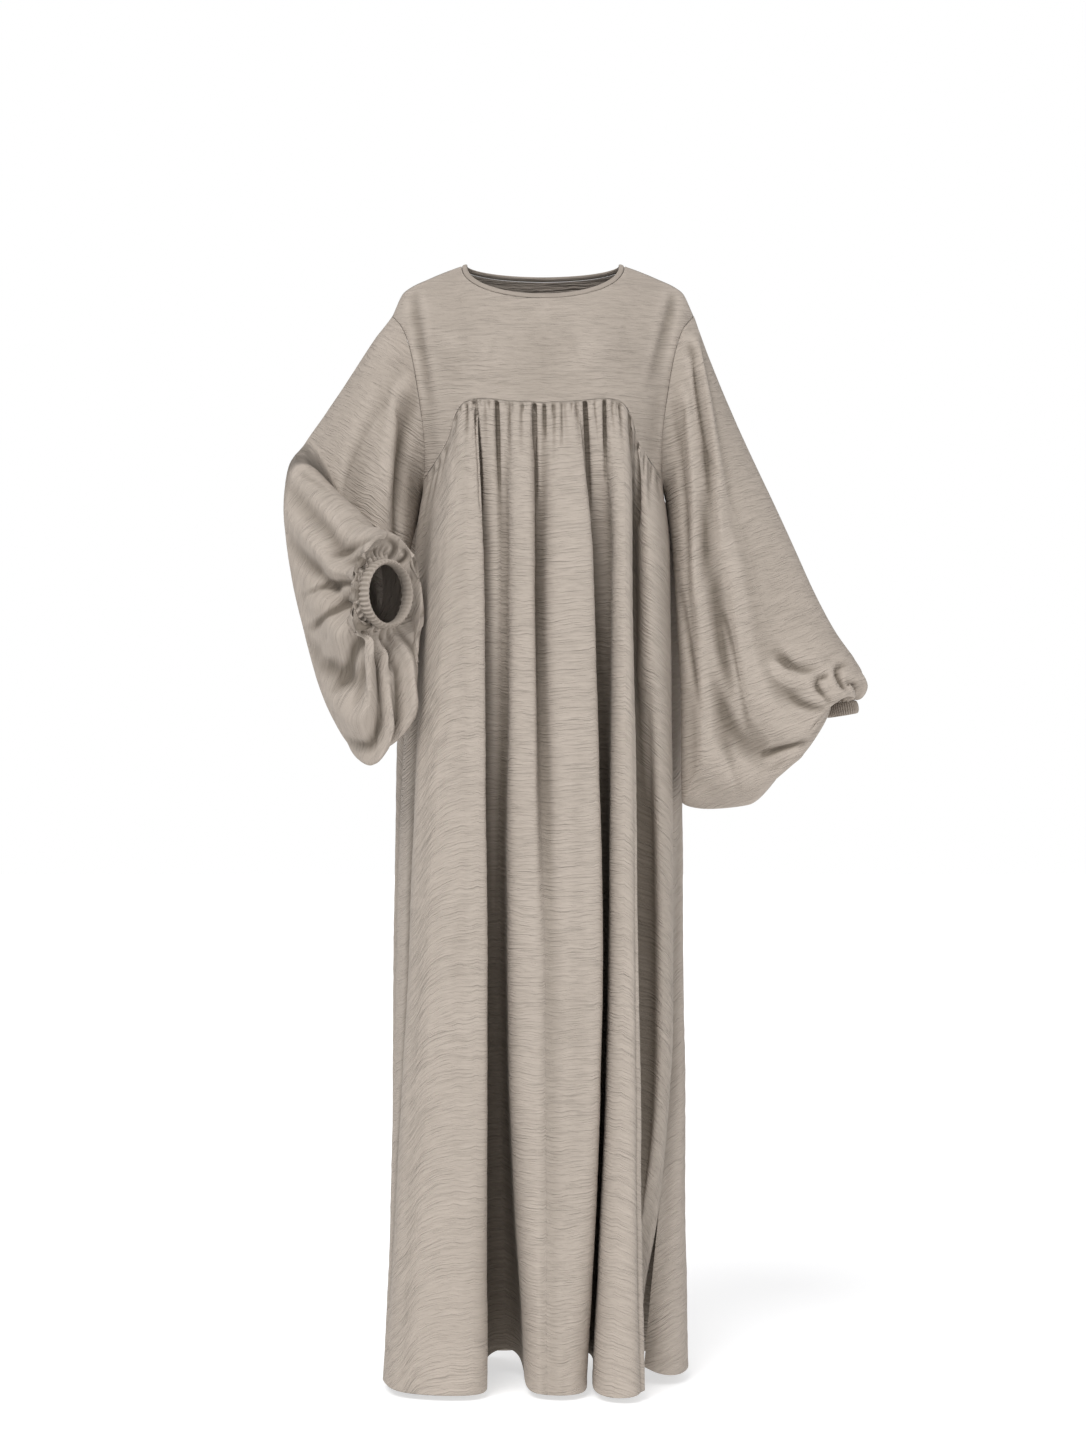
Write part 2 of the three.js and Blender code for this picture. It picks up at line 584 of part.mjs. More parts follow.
const PANELS = {
  front: skirtPanel(FRONT_FOLDS, FRONT_GATHERS, -1),
  back: skirtPanel(BACK_FOLDS, BACK_GATHERS, 1),
};

// The direction out of the cloth at a side seam, the same for both panels that meet there
function sideNormal(side, z) {
  const front = PANELS.front.tracks;
  const back = PANELS.back.tracks;
  const a = side > 0 ? front[front.length - 3] : back[back.length - 3];
  const b = side > 0 ? back[2] : front[2];
  const runX = b.x(z) - a.x(z);
  const runY = b.y(z) - a.y(z);
  return new THREE.Vector3(runY, -runX, 0).normalize();
}

function skirtGeometry(panel) {
  const end = YOKE_SEAM[YOKE_SEAM.length - 1].x;
  const ordered = gatherStations(panel.gathers, end);
  const stations = panel.facing < 0 ? ordered : ordered.reverse();
  const spans = stations.map((x) => splineParameter(panel.tracks, x));
  spans[0] = 0;
  spans[spans.length - 1] = panel.tracks.length + 1;
  const rows = SKIRT_ROWS.map((row) => {
    const line = stations.map((x, i) => skirtPoint(panel, spans[i], x, row));
    return line.map((outer, i) => {
      const last = line.length - 1;
      const ends = i === 0 || i === last;
      const before = line[Math.max(0, i - 1)];
      const after = line[Math.min(last, i + 1)];
      const flat = new THREE.Vector3(after.y - before.y, before.x - after.x, 0).normalize();
      const side = Math.sign(stations[i]);
      const level = ends ? sideNormal(side, outer.z) : flat;
      const seam = seamEdge(stations[i], panel.facing, true).normal;
      const normal = seam.lerp(level, ease(row / SEAM_HOLD.turn)).normalize();
      return layer(i / last, outer, normal, CLOTH);
    });
  });
  return wallGeometry(rows, false);
}

// The armhole by angle: 0 at the shoulder, 180 degrees under the arm, the front on the way there
function armholePoint(side, angle) {
  const front = angle <= 180;
  const share = front ? angle / 180 : (360 - angle) / 180;
  const z = mix(SHOULDER_END.z, YOKE_SEAM[YOKE_SEAM.length - 1].z, share);
  const x = side * (armholeX(z) + GAP);
  return new THREE.Vector3(x, figureY(x, z, front ? -1 : 1), z);
}

function ringColumns(rings) {
  const keys = rings.map((_, i) => i);
  return Object.fromEntries(SLEEVE_COLUMNS.map((name) => [name, smooth(keys, rings.map((r) => r[name]))]));
}

// A point of a sleeve: the ring at step k, at an angle round it, before its folds
function ringPoint(curves, k, angle) {
  const a = (angle * Math.PI) / 180;
  const at = Object.fromEntries(SLEEVE_COLUMNS.map((name) => [name, curves[name](k)]));
  const down = Math.cos(a) > 0 ? at.wide * (1 - Math.cos(a)) : at.wide - (1 - at.wide) * Math.cos(a);
  const reach = Math.sin(a) > 0 ? at.out : at.in;
  const turn = (at.turn * Math.PI) / 180;
  const aside = reach * Math.sin(a);
  return new THREE.Vector3(
    mix(at.topX, at.lowX, down) - aside * Math.sin(turn),
    mix(at.topY, at.lowY, down) - aside * Math.cos(turn),
    mix(at.topZ, at.lowZ, down),
  );
}

function angleBetween(a, b) {
  return ((((a - b) % 360) + 540) % 360) - 180;
}

// How far the folds and the gathers at the cuff lift the cloth
function sleeveRelief(sleeve, k, angle) {
  const last = sleeve.rings.length - 1;
  const folds = sleeve.folds.reduce((sum, f) => {
    const t = (k - f.from) / (f.to - f.from);
    if (t <= 0 || t >= 1) return sum;
    const middle = mix(f.fromAngle, f.toAngle, t);
    return sum + f.depth * Math.sin(Math.PI * t) ** 0.7 * bell(angleBetween(angle, middle), f.width);
  }, 0);
  const near = (last - k) / CUFF_GATHERS.reach;
  const gather = near < 1 ? ease(near / CUFF_GATHERS.onset) * (1 - near) * CUFF_GATHERS.depth : 0;
  return folds + gather * Math.cos((CUFF_GATHERS.count * angle * Math.PI) / 180);
}

function sleevePoint(sleeve, k, angle) {
  const bare = (kk, aa) => {
    const ring = ringPoint(sleeve.curves, kk, aa);
    return armholePoint(sleeve.side, ((aa % 360) + 360) % 360).lerp(ring, ease(kk));
  };
  const base = bare(k, angle);
  const last = sleeve.rings.length - 1;
  const d = 0.02;
  const round = bare(k, angle + 2).sub(bare(k, angle - 2));
  const ahead = Math.min(last, Math.max(SLEEVE_START, k + d));
  const along = bare(ahead, angle).sub(bare(Math.max(0, k - d), angle));
  const normal = round.cross(along).normalize().multiplyScalar(sleeve.side);
  return { point: base.addScaledVector(normal, sleeveRelief(sleeve, k, angle)), normal };
}

function sleeveAngles(count) {
  return Array.from({ length: count }, (_, i) => (360 * i) / count);
}

function yokeAngles() {
  const front = YOKE_ROWS.map((share) => 180 * share);
  const back = YOKE_ROWS.slice(1, -1).map((share) => 360 - 180 * share).reverse();
  return [...front, ...back];
}

// The middle of a sleeve's last ring and the way its casing runs on from there
function cuffFrame(sleeve) {
  const last = sleeve.rings.length - 1;
  const { alongX, alongY, alongZ } = sleeve.cuff;
  const top = ringPoint(sleeve.curves, last, 0);
  return {
    middle: top.add(ringPoint(sleeve.curves, last, 180)).multiplyScalar(0.5),
    axis: new THREE.Vector3(alongX, alongY, alongZ).normalize(),
  };
}

function sleeveGeometry(sleeve) {
  const last = sleeve.rings.length - 1;
  const fineFrom = last - Math.ceil(CUFF_GATHERS.reach);
  const whole = Array.from({ length: last }, (_, k) => k + 1);
  const steps = [0, SLEEVE_START, ...whole];
  const { middle, axis } = cuffFrame(sleeve);
  const rows = steps.map((k, i) => {
    const count = k > fineFrom ? SLEEVE_FINE : SLEEVE_COARSE;
    const angles = i === 0 ? yokeAngles() : sleeveAngles(count);
    return angles.map((angle) => {
      const { point, normal } = sleevePoint(sleeve, k, angle);
      const level = point.clone().sub(middle).projectOnPlane(axis).normalize();
      return layer(angle / 360, point, k === last ? level : normal, CLOTH);
    });
  });
  return wallGeometry(rows, true);
}

// The elastic casing: a short ruched band that goes on from the sleeve's last ring
function cuffGeometry(sleeve) {
  const last = sleeve.rings.length - 1;
  const { middle, axis } = cuffFrame(sleeve);
  const rows = CUFF_ROWS.map((share) => sleeveAngles(CUFF_SIDES).map((angle) => {
    const rim = ringPoint(sleeve.curves, last, angle);
    const outwards = rim.clone().sub(middle).projectOnPlane(axis).normalize();
    const crown = CUFF_RUCHES.crown * Math.sin(Math.PI * share) + CUFF_RUCHES.edge;
    const ruche = CUFF_RUCHES.depth * Math.cos((CUFF_RUCHES.count * angle * Math.PI) / 180);
    const along = GAP + sleeve.cuff.depth * share;
    const outer = rim.addScaledVector(axis, along).addScaledVector(outwards, crown + ruche);
    return { u: angle / 360, outer, inner: outer.clone().addScaledVector(outwards, -CASING_WALL - crown) };
  }));
  return wallGeometry(rows, true);
}

// The neck binding: a narrow roll of bias cloth that sits on the yokes' neck edge
function bindingGeometry() {
  const neckColumns = YOKE_HALF_COLUMNS;
  const shares = Array.from({ length: neckColumns + 1 }, (_, i) => (NECK.share * (2 * i - neckColumns)) / neckColumns);
  const stations = [
    ...shares.slice(0, -1).map((share) => ({ share, facing: -1 })),
    ...shares.slice(1).reverse().map((share) => ({ share, facing: 1 })),
  ];
  const edges = stations.map(({ share, facing }) => yokeSurface(share, 0, facing));
  const rows = stations.map(({ share, facing }, i) => {
    const after = edges[(i + 1) % edges.length];
    const before = edges[(i + edges.length - 1) % edges.length];
    const normal = figureNormal(edges[i].x, edges[i].z, facing);
    const up = after.clone().sub(before).cross(normal).normalize().negate();
    const centre = edges[i].clone().addScaledVector(up, BINDING.width / 2 + BINDING.seat)
      .addScaledVector(normal, -CLOTH / 2);
    return sleeveAngles(BINDING.sides).map((angle) => {
      const a = (angle * Math.PI) / 180;
      return centre.clone()
        .addScaledVector(up, (BINDING.width / 2) * Math.cos(a))
        .addScaledVector(normal, (BINDING.thick / 2) * Math.sin(a));
    });
  });
  const points = rows.flat().flatMap((p) => [p.x, p.y, p.z]);
  const faces = [];
  for (let i = 0; i < rows.length; i += 1) {
    for (let j = 0; j < BINDING.sides; j += 1) {
      const next = (i + 1) % rows.length;
      const beside = (j + 1) % BINDING.sides;
      const a = i * BINDING.sides + j;
      const b = next * BINDING.sides + j;
      const c = next * BINDING.sides + beside;
      const d = i * BINDING.sides + beside;
      faces.push([a, b, c], [a, c, d]);
    }
  }
  return solid(points, faces);
}

function piece(name, geometry, color) {
  const material = new THREE.MeshStandardMaterial({ color, roughness: 0.85, metalness: 0 });
  const mesh = new THREE.Mesh(geometry, material);
  mesh.name = name;
  return mesh;
}

const group = new THREE.Group();
group.add(piece('yoke_front', yokeGeometry(-1, FRONT_GATHERS), CLOTH_COLOUR));
group.add(piece('yoke_back', yokeGeometry(1, BACK_GATHERS), CLOTH_COLOUR));
group.add(piece('skirt_front', skirtGeometry(PANELS.front), CLOTH_COLOUR));
group.add(piece('skirt_back', skirtGeometry(PANELS.back), CLOTH_COLOUR));
for (const [name, sleeve] of Object.entries(SLEEVES)) {
  sleeve.curves = ringColumns(sleeve.rings);
  group.add(piece(`sleeve_${name}`, sleeveGeometry(sleeve), CLOTH_COLOUR));
  group.add(piece(`cuff_${name}`, cuffGeometry(sleeve), TRIM_COLOUR));
}
group.add(piece('neck_binding', bindingGeometry(), TRIM_COLOUR));
export default group;
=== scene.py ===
"""A long crepe abaya in its worn form: smooth yokes, gathered skirt, balloon sleeves and elastic cuffs.

Every sheet of cloth is a surface worked out on a grid, in millimetres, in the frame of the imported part:
+Z up, the front facing -Y, the origin midway between the high shoulder points. Meshes are in metres.
"""

import logging
from dataclasses import dataclass, field
from enum import Enum

import bpy
import numpy as np
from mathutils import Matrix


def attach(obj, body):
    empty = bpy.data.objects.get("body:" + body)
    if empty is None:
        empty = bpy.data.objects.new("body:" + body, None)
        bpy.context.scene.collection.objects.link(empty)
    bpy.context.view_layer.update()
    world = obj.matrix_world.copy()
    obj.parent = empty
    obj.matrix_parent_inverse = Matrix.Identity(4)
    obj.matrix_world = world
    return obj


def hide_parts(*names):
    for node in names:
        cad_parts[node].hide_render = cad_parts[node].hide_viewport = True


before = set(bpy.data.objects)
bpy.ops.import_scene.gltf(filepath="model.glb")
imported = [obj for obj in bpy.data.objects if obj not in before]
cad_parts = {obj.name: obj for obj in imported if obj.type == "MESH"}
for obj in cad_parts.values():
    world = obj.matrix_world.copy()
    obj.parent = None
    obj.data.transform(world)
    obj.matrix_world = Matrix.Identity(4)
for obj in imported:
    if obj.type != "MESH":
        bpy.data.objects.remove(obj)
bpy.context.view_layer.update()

logging.basicConfig(level=logging.INFO, format="%(message)s")
LOG = logging.getLogger("abaya")

MM = 0.001
GAP = 0.3
VIEW_DISTANCE = 4200.0
VIEW_HEIGHT = -601.0
CREASE_STEPS = 14
WAVES, WAVE_SUM = 14, 4.0
HULL_REACH = 26
NORMAL_STEPS, NEAR_STEPS, WIDE_STEPS, ROW_STEPS = 3, 6, 30, 4
NEAR_SHARE, BEHIND_SHARE, DEEPEST = 1.5, 0.06, 45.0
FRONT, BACK = -1.0, 1.0


class Slot(Enum):
    """The record's material slots."""

    CREPE = "crepe"
    TRIM = "trim"


def table(columns: str, rows: list[tuple[float, ...]]) -> dict[str, np.ndarray]:
    """Names the columns of a table of numbers.

    Args:
        columns: The column names, with spaces between them.
        rows: One tuple for each section or fold.

    Returns:
        One array for each column.
    """
    values = np.array(rows, dtype=float)
    return {name: values[:, i] for i, name in enumerate(columns.split())}


def ease(t: np.ndarray) -> np.ndarray:
    """Rises from 0 to 1 with level ends: t squared times (3 - 2 t), t held between 0 and 1."""
    c = np.clip(t, 0.0, 1.0)
    return c * c * (3.0 - 2.0 * c)


def bell(offset: np.ndarray, width: float | np.ndarray) -> np.ndarray:
    """Is 1 at no offset and falls away as exp of minus (offset over width) squared."""
    return np.exp(-((offset / width) ** 2))


def mix(a: np.ndarray, b: np.ndarray, t: np.ndarray) -> np.ndarray:
    """Goes in a straight line from a, at t = 0, to b, at t = 1."""
    return a + (b - a) * t


def unit(v: np.ndarray) -> np.ndarray:
    """Scales each vector to length 1."""
    return v / np.maximum(np.linalg.norm(v, axis=-1, keepdims=True), 1e-9)


class Curve:
    """A smooth curve through keys that never swings past them: cubic pieces with limited slopes."""

    def __init__(self, keys: np.ndarray, values: np.ndarray) -> None:
        """Works out the slope at each key as the harmonic mean of the slopes beside it.

        Args:
            keys: Rising places along the curve.
            values: The curve's value at each key.
        """
        self.keys = np.asarray(keys, dtype=float)
        self.values = np.asarray(values, dtype=float)
        slope = np.diff(self.values) / np.diff(self.keys)
        product = slope[:-1] * slope[1:]
        total = np.where(product > 0, slope[:-1] + slope[1:], 1.0)
        inner = np.where(product > 0, 2.0 * product / total, 0.0)
        self.tangents = np.concatenate([slope[:1], inner, slope[-1:]])

    def __call__(self, at: np.ndarray) -> np.ndarray:
        """Gives the curve's value at each place.

        Args:
            at: The places, of any shape.

        Returns:
            The values, held level past both ends.
        """
        at = np.clip(np.asarray(at, dtype=float), self.keys[0], self.keys[-1])
        i = np.clip(np.searchsorted(self.keys, at, side="right") - 1, 0, len(self.keys) - 2)
        span = self.keys[i + 1] - self.keys[i]
        t = (at - self.keys[i]) / span
        start = self.values[i] * (1 + 2 * t) * (1 - t) ** 2 + self.tangents[i] * span * t * (1 - t) ** 2
        end = self.values[i + 1] * t * t * (3 - 2 * t) + self.tangents[i + 1] * span * t * t * (t - 1)
        return start + end


RIDGE = table("x z", [(0, 22), (60, 14), (107, 0), (148, -16), (182, -34), (198, -66)])
SIDES = table("z half", [(-288, 157), (-260, 160.5), (-220, 167), (-170, 176), (-123, 187), (-66, 204)])
TROUGH = table("z x", [(-290, 139), (-210, 146), (-154, 151), (-99, 162), (-43, 173)])
ARMHOLE = table(
    "z x",
    [(-288, 157), (-276, 154), (-255, 153.5), (-220, 155.5), (-170, 162), (-123, 170.5), (-100, 177),
     (-84, 184), (-66, 198)],
)
YOKE_SEAM = table(
    "x z",
    [(0, -192), (40, -190), (80, -186), (100, -190), (112, -206), (121, -236), (136, -261), (157, -288)],
)
SEAM_STEPS = np.hypot(np.diff(YOKE_SEAM["x"]), np.diff(YOKE_SEAM["z"]))
SEAM_SHARES = np.concatenate([[0.0], np.cumsum(SEAM_STEPS)]) / SEAM_STEPS.sum()
SIDE_X = float(YOKE_SEAM["x"][-1])

ridge_z = Curve(RIDGE["x"], RIDGE["z"])
side_half = Curve(SIDES["z"], SIDES["half"])
trough_x = Curve(TROUGH["z"], TROUGH["x"])
armhole_x = Curve(ARMHOLE["z"], ARMHOLE["x"])
seam_x = Curve(SEAM_SHARES, YOKE_SEAM["x"])
seam_z = Curve(SEAM_SHARES, YOKE_SEAM["z"])
FINE_SHARES = np.linspace(0.0, 1.0, 4001)
FINE_SEAM_X = seam_x(FINE_SHARES)


@dataclass(frozen=True)
class Figure:
    """The general figure that the yokes round, in millimetres."""

    ridge_y: float = 10.0
    chest: float = 181.0
    back: float = 125.0
    reach: float = 250.0
    power: float = 0.6
    square: float = 2.6
    bust_x: float = 60.0
    bust_z: float = -126.0
    bust_wide: float = 44.0
    bust_high: float = 40.0
    bust_out: float = 8.0
    trough_depth: float = 3.5
    trough_width: float = 9.0
    trough_ease: float = 60.0
    trough_foot: float = -290.0
    ridge_ease: float = 5.0
    side_ease: float = 2.0

    def y(self, x: np.ndarray, z: np.ndarray, facing: float) -> np.ndarray:
        """Gives how far the figure stands before or behind the shoulder ridge.

        The depth is a rounded square across the body times a rise that is steep under the ridge and levels
        out below it; the front adds a low swell for the bust and both lose a soft trough by the arms.

        Args:
            x: Places across.
            z: Heights.
            facing: FRONT or BACK.

        Returns:
            The y of each place.
        """
        across = np.abs(x)
        below = np.maximum(0.0, ridge_z(across) - z)
        falloff = (1.0 - np.exp(-below / self.reach)) ** self.power
        share = np.minimum(1.0, across / side_half(z)) ** self.square
        rounding = np.maximum(0.0, 1.0 - share) ** (1.0 / self.square)
        size = self.chest if facing < 0 else self.back
        swell = bell(across - self.bust_x, self.bust_wide) * bell(z - self.bust_z, self.bust_high)
        bust = self.bust_out * swell if facing < 0 else 0.0
        near = bell(across - trough_x(z), self.trough_width)
        ends = ease(below / self.trough_ease) * ease((z - self.trough_foot) / self.trough_ease)
        dent = self.trough_depth * near * ends
        return self.ridge_y + facing * (GAP / 2 + size * rounding * falloff + bust - dent)

    def normal(self, x: np.ndarray, z: np.ndarray, facing: float) -> np.ndarray:
        """Gives the outward direction, level across the shoulder ridge and sideways under the arms.

        Args:
            x: Places across.
            z: Heights.
            facing: FRONT or BACK.

        Returns:
            One unit vector for each place.
        """
        d = 0.5
        across = np.abs(x)
        below = ridge_z(across) - z
        low = np.minimum(z, ridge_z(across) - 2 * d)
        slope_x = (self.y(x + d, low, facing) - self.y(x - d, low, facing)) / (2 * d)
        slope_z = (self.y(x, low + d, facing) - self.y(x, low - d, facing)) / (2 * d)
        face = unit(np.stack([-facing * slope_x, np.full_like(slope_x, facing), -facing * slope_z], -1))
        fall = (ridge_z(across + d) - ridge_z(across - d)) / (2 * d)
        ridge = unit(np.stack([-np.sign(x) * fall, np.zeros_like(fall), np.ones_like(fall)], -1))
        aside = np.stack([np.sign(x), np.zeros_like(fall), np.zeros_like(fall)], -1)
        face = mix(face, ridge, (1.0 - ease(below / self.ridge_ease))[..., None])
        return unit(mix(face, aside, (1.0 - ease((side_half(z) - across) / self.side_ease))[..., None]))


FIGURE = Figure()


def seam_edge(x: np.ndarray, facing: float, downwards: bool) -> tuple[np.ndarray, np.ndarray]:
    """Gives the cut edge on one side of the yoke seam, half a gap from the seam's line.

    Args:
        x: Places along the seam.
        facing: FRONT or BACK.
        downwards: True for the skirt's edge and False for the yoke's.

    Returns:
        The edge's points and the outward direction at each.
    """
    share = np.interp(np.abs(x), FINE_SEAM_X, FINE_SHARES)
    d = 0.002
    before, after = np.maximum(0.0, share - d), np.minimum(1.0, share + d)
    run_x, run_z = seam_x(after) - seam_x(before), seam_z(after) - seam_z(before)
    half = GAP / 2 / np.hypot(run_x, run_z) * (1.0 if downwards else -1.0)
    px = x + np.sign(x) * run_z * half
    pz = seam_z(share) - run_x * half
    point = np.stack([px, FIGURE.y(px, pz, facing), pz], -1)
    return point, FIGURE.normal(px, pz, facing)


def wander(u: np.ndarray, v: np.ndarray, seed: int, longest: float = 0.16) -> np.ndarray:
    """Sums seeded sine waves of mixed length and direction into a soft uneven relief.

    Args:
        u: Cloth metres across.
        v: Cloth metres along.
        seed: Which relief.
        longest: The longest wave in metres.

    Returns:
        A relief of about -1 to 1.
    """
    draw = np.random.default_rng(seed)
    total = np.zeros(np.broadcast(u, v).shape)
    for _ in range(WAVES):
        length = longest * draw.uniform(0.25, 1.0)
        lean = draw.uniform(0.0, np.pi)
        phase = draw.uniform(0.0, 2 * np.pi)
        run = (u * np.cos(lean) + v * np.sin(lean)) / length
        total += np.sin(2 * np.pi * run + phase) * length / longest
    return total / WAVE_SUM


def cloth_metres(points: np.ndarray) -> tuple[np.ndarray, np.ndarray]:
    """Measures a grid of cloth along its rows and columns.

    Args:
        points: Rows by columns of points in millimetres.

    Returns:
        Metres across, the mean of all rows, and metres down each column.
    """
    across = np.linalg.norm(np.diff(points, axis=1), axis=-1).mean(0)
    down = np.linalg.norm(np.diff(points, axis=0), axis=-1)
    u = np.concatenate([[0.0], np.cumsum(across)]) * MM
    v = np.concatenate([np.zeros((1, points.shape[1])), np.cumsum(down, axis=0)]) * MM
    return np.broadcast_to(u, v.shape), v


def spread(values: np.ndarray, steps: int, axis: int, wrap: bool) -> np.ndarray:
    """Averages a grid with its neighbours, again and again.

    Args:
        values: Rows by columns, with any further axes.
        steps: How many times.
        axis: 0 down the rows or 1 across the columns.
        wrap: Whether the axis closes on itself.

    Returns:
        The softened grid.
    """
    for _ in range(steps):
        after, before = np.roll(values, -1, axis), np.roll(values, 1, axis)
        if not wrap:
            last, first = [slice(None)] * values.ndim, [slice(None)] * values.ndim
            last[axis], first[axis] = slice(-1, None), slice(0, 1)
            after[tuple(last)], before[tuple(first)] = values[tuple(last)], values[tuple(first)]
        values = (after + 2 * values + before) / 4
    return values


def averaged(values: np.ndarray, wrap: bool) -> np.ndarray:
    """Averages each point with all those up to HULL_REACH columns away."""
    width = 2 * HULL_REACH + 1
    ends = [(0, 0)] * values.ndim
    ends[1] = (HULL_REACH + 1, HULL_REACH)
    total = np.cumsum(np.pad(values, ends, mode="wrap" if wrap else "edge"), axis=1)
    return (total[:, width:] - total[:, :-width]) / width


def fold_shade(points: np.ndarray, wrap_columns: bool, wrap_rows: bool) -> np.ndarray:
    """Finds valleys and ridges, for painted shade and highlight: how far each point stands out from the
    softened sheet.

    Args:
        points: Rows by columns of points in millimetres.
        wrap_columns: Whether the last column joins the first.
        wrap_rows: Whether the last row joins the first.

    Returns:
        Millimetres, above 0 on ridges and below 0 in valleys: narrow folds, wide folds and how far a
        point lies behind the sheet's broad sweep, together.
    """
    normal = unit(spread(grid_normals(points, wrap_columns), NORMAL_STEPS, 1, wrap_columns))
    near = spread(points, NEAR_STEPS, 1, wrap_columns)
    wide = spread(spread(near, WIDE_STEPS, 1, wrap_columns), ROW_STEPS, 0, wrap_rows)
    hull = averaged(averaged(wide, wrap_columns), wrap_columns)
    outward = unit(averaged(normal, wrap_columns))
    behind = np.clip(((points - hull) * outward).sum(-1), -DEEPEST, 0.0)
    narrow = ((points - near) * normal).sum(-1) * NEAR_SHARE
    return narrow + ((points - wide) * normal).sum(-1) + BEHIND_SHARE * behind


def make_mesh(
    name: str, points: np.ndarray, uv: np.ndarray, wrap_columns: bool = False, wrap_rows: bool = False
) -> bpy.types.Object:
    """Puts a grid of points into a new mesh object with a UV map in cloth metres and fold values for painted
    shade.

    Args:
        name: The piece's name.
        points: Rows by columns of points in millimetres.
        uv: Rows by columns of cloth metres, one column or row longer where the grid wraps.
        wrap_columns: Whether the last column joins the first.
        wrap_rows: Whether the last row joins the first.

    Returns:
        The object, smooth shaded, with its faces as quads.
    """
    rows, columns = points.shape[:2]
    face_rows = rows if wrap_rows else rows - 1
    face_columns = columns if wrap_columns else columns - 1
    r, c = np.meshgrid(np.arange(face_rows), np.arange(face_columns), indexing="ij")
    corners = ((r, c), (r + 1, c), (r + 1, c + 1), (r, c + 1))
    quads = np.stack([(i % rows) * columns + j % columns for i, j in corners], -1).reshape(-1, 4)
    mesh = bpy.data.meshes.new(f"{name}_cloth")
    mesh.vertices.add(rows * columns)
    mesh.vertices.foreach_set("co", (points.reshape(-1, 3) * MM).astype(np.float32).ravel())
    mesh.loops.add(quads.size)
    mesh.loops.foreach_set("vertex_index", quads.ravel().astype(np.int32))
    mesh.polygons.add(len(quads))
    mesh.polygons.foreach_set("loop_start", np.arange(0, quads.size, 4, dtype=np.int32))
    mesh.polygons.foreach_set("loop_total", np.full(len(quads), 4, dtype=np.int32))
    mesh.polygons.foreach_set("use_smooth", np.ones(len(quads), dtype=bool))
    # The fold values feed the crepe's painted shade in valleys and painted highlight on ridges.
    depth = mesh.attributes.new(name="fold", type="FLOAT", domain="POINT")
    depth.data.foreach_set("value", fold_shade(points, wrap_columns, wrap_rows).astype(np.float32).ravel())
    layer = mesh.uv_layers.new(name="cloth")
    loops = np.stack([uv[i, j] for i, j in corners], 2).reshape(-1, 2)
    layer.data.foreach_set("uv", loops.astype(np.float32).ravel())
    mesh.update(calc_edges=True)
    mesh.validate()
    piece = bpy.data.objects.new(f"{name}_cloth", mesh)
    bpy.context.scene.collection.objects.link(piece)
    return piece


def thicken(piece: bpy.types.Object, wall: float) -> None:
    """Gives a sheet its wall, inwards from its outer face.

    Args:
        piece: The sheet.
        wall: Its thickness in millimetres.
    """
    solid = piece.modifiers.new("wall", "SOLIDIFY")
    solid.thickness = wall * MM
    solid.offset = -1.0
    solid.use_even_offset = False
    solid.use_rim = True


def grid_normals(points: np.ndarray, wrap: bool) -> np.ndarray:
    """Works out the normal at each grid point from its neighbours.

    Args:
        points: Rows by columns of points.
        wrap: Whether the last column joins the first.

    Returns:
        Unit vectors along (down the rows) cross (across the columns).
    """
    down = np.gradient(points, axis=0)
    if wrap:
        across = (np.roll(points, -1, axis=1) - np.roll(points, 1, axis=1)) / 2
    else:
        across = np.gradient(points, axis=1)
    return unit(np.cross(down, across))


def feed(node: bpy.types.Node, inputs: dict[str | int, object]) -> None:
    """Links sockets to a node's inputs, or sets them to plain values.

    Args:
        node: The node.
        inputs: A socket or a value for each input, by its name or number.
    """
    for key, value in inputs.items():
        if isinstance(value, bpy.types.NodeSocket):
            node.id_data.links.new(value, node.inputs[key])
        else:
            node.inputs[key].default_value = value


def add(
    tree: bpy.types.NodeTree, kind: str, inputs: dict[str | int, object], **options: object
) -> bpy.types.Node:
    """Adds a shader node.

    Args:
        tree: The tree that it goes into.
        kind: The node's type, without ShaderNode before it.
        inputs: A socket or a value for each input, by its name or number.
        **options: The node's own options, set before its inputs.

    Returns:
        The node.
    """
    made = tree.nodes.new(f"ShaderNode{kind}")
    for name, value in options.items():
        setattr(made, name, value)
    feed(made, inputs)
    return made


def shaded(name: str, inputs: dict[str, object]) -> tuple[bpy.types.Material, bpy.types.Node]:
    """Makes a material and sets the uniform inputs of its shader.

    Args:
        name: The material's name.
        inputs: A value for each input that is the same all over.

    Returns:
        The material and its shader node.
    """
    made = bpy.data.materials.new(name)
    made.use_nodes = True
    shader = made.node_tree.nodes["Principled BSDF"]
    feed(shader, inputs)
    return made, shader


@dataclass(frozen=True)
class Crepe:
    """A matt crinkled crepe: wavy ridges across the grain over a fine weave."""

    name: str
    # light and dark are lit and shaded copies of one colour; the tone, painted shade and highlight, mixes
    # between them.
    light: tuple[float, float, float]
    dark: tuple[float, float, float]
    crinkle: float
    roughness: float = 0.82
    specular: float = 0.15
    sheen: float = 0.03
    sheen_roughness: float = 0.45

    def material(self) -> bpy.types.Material:
        """Builds the material: its tone, painted shade and highlight with random patches, and its bump from
        the shared crinkle group.
        """
        made, shader = shaded(self.name, {
            "Roughness": self.roughness,
            "Specular IOR Level": self.specular,
            "Sheen Weight": self.sheen,
            "Sheen Roughness": self.sheen_roughness,
        })
        tree = made.node_tree
        cloth = add(tree, "UVMap", {}, uv_map="cloth").outputs["UV"]
        # The fold attribute paints shade in the valleys and highlight on the ridges of the folds.
        fold = add(tree, "Attribute", {}, attribute_name="fold").outputs["Fac"]
        ridges = add(tree, "Group", {"Cloth": cloth, "PaintedFoldShade": fold}, node_tree=crinkle_group()).outputs
        shades = {"A": (*self.dark, 1.0), "B": (*self.light, 1.0), "Factor": ridges["Tone"]}
        tone = add(tree, "Mix", shades, data_type="RGBA", clamp_factor=False)
        bump = add(tree, "Bump", {"Distance": self.crinkle * MM, "Height": ridges["Height"]})
        feed(shader, {"Base Color": tone.outputs["Result"], "Normal": bump.outputs["Normal"]})
        return made


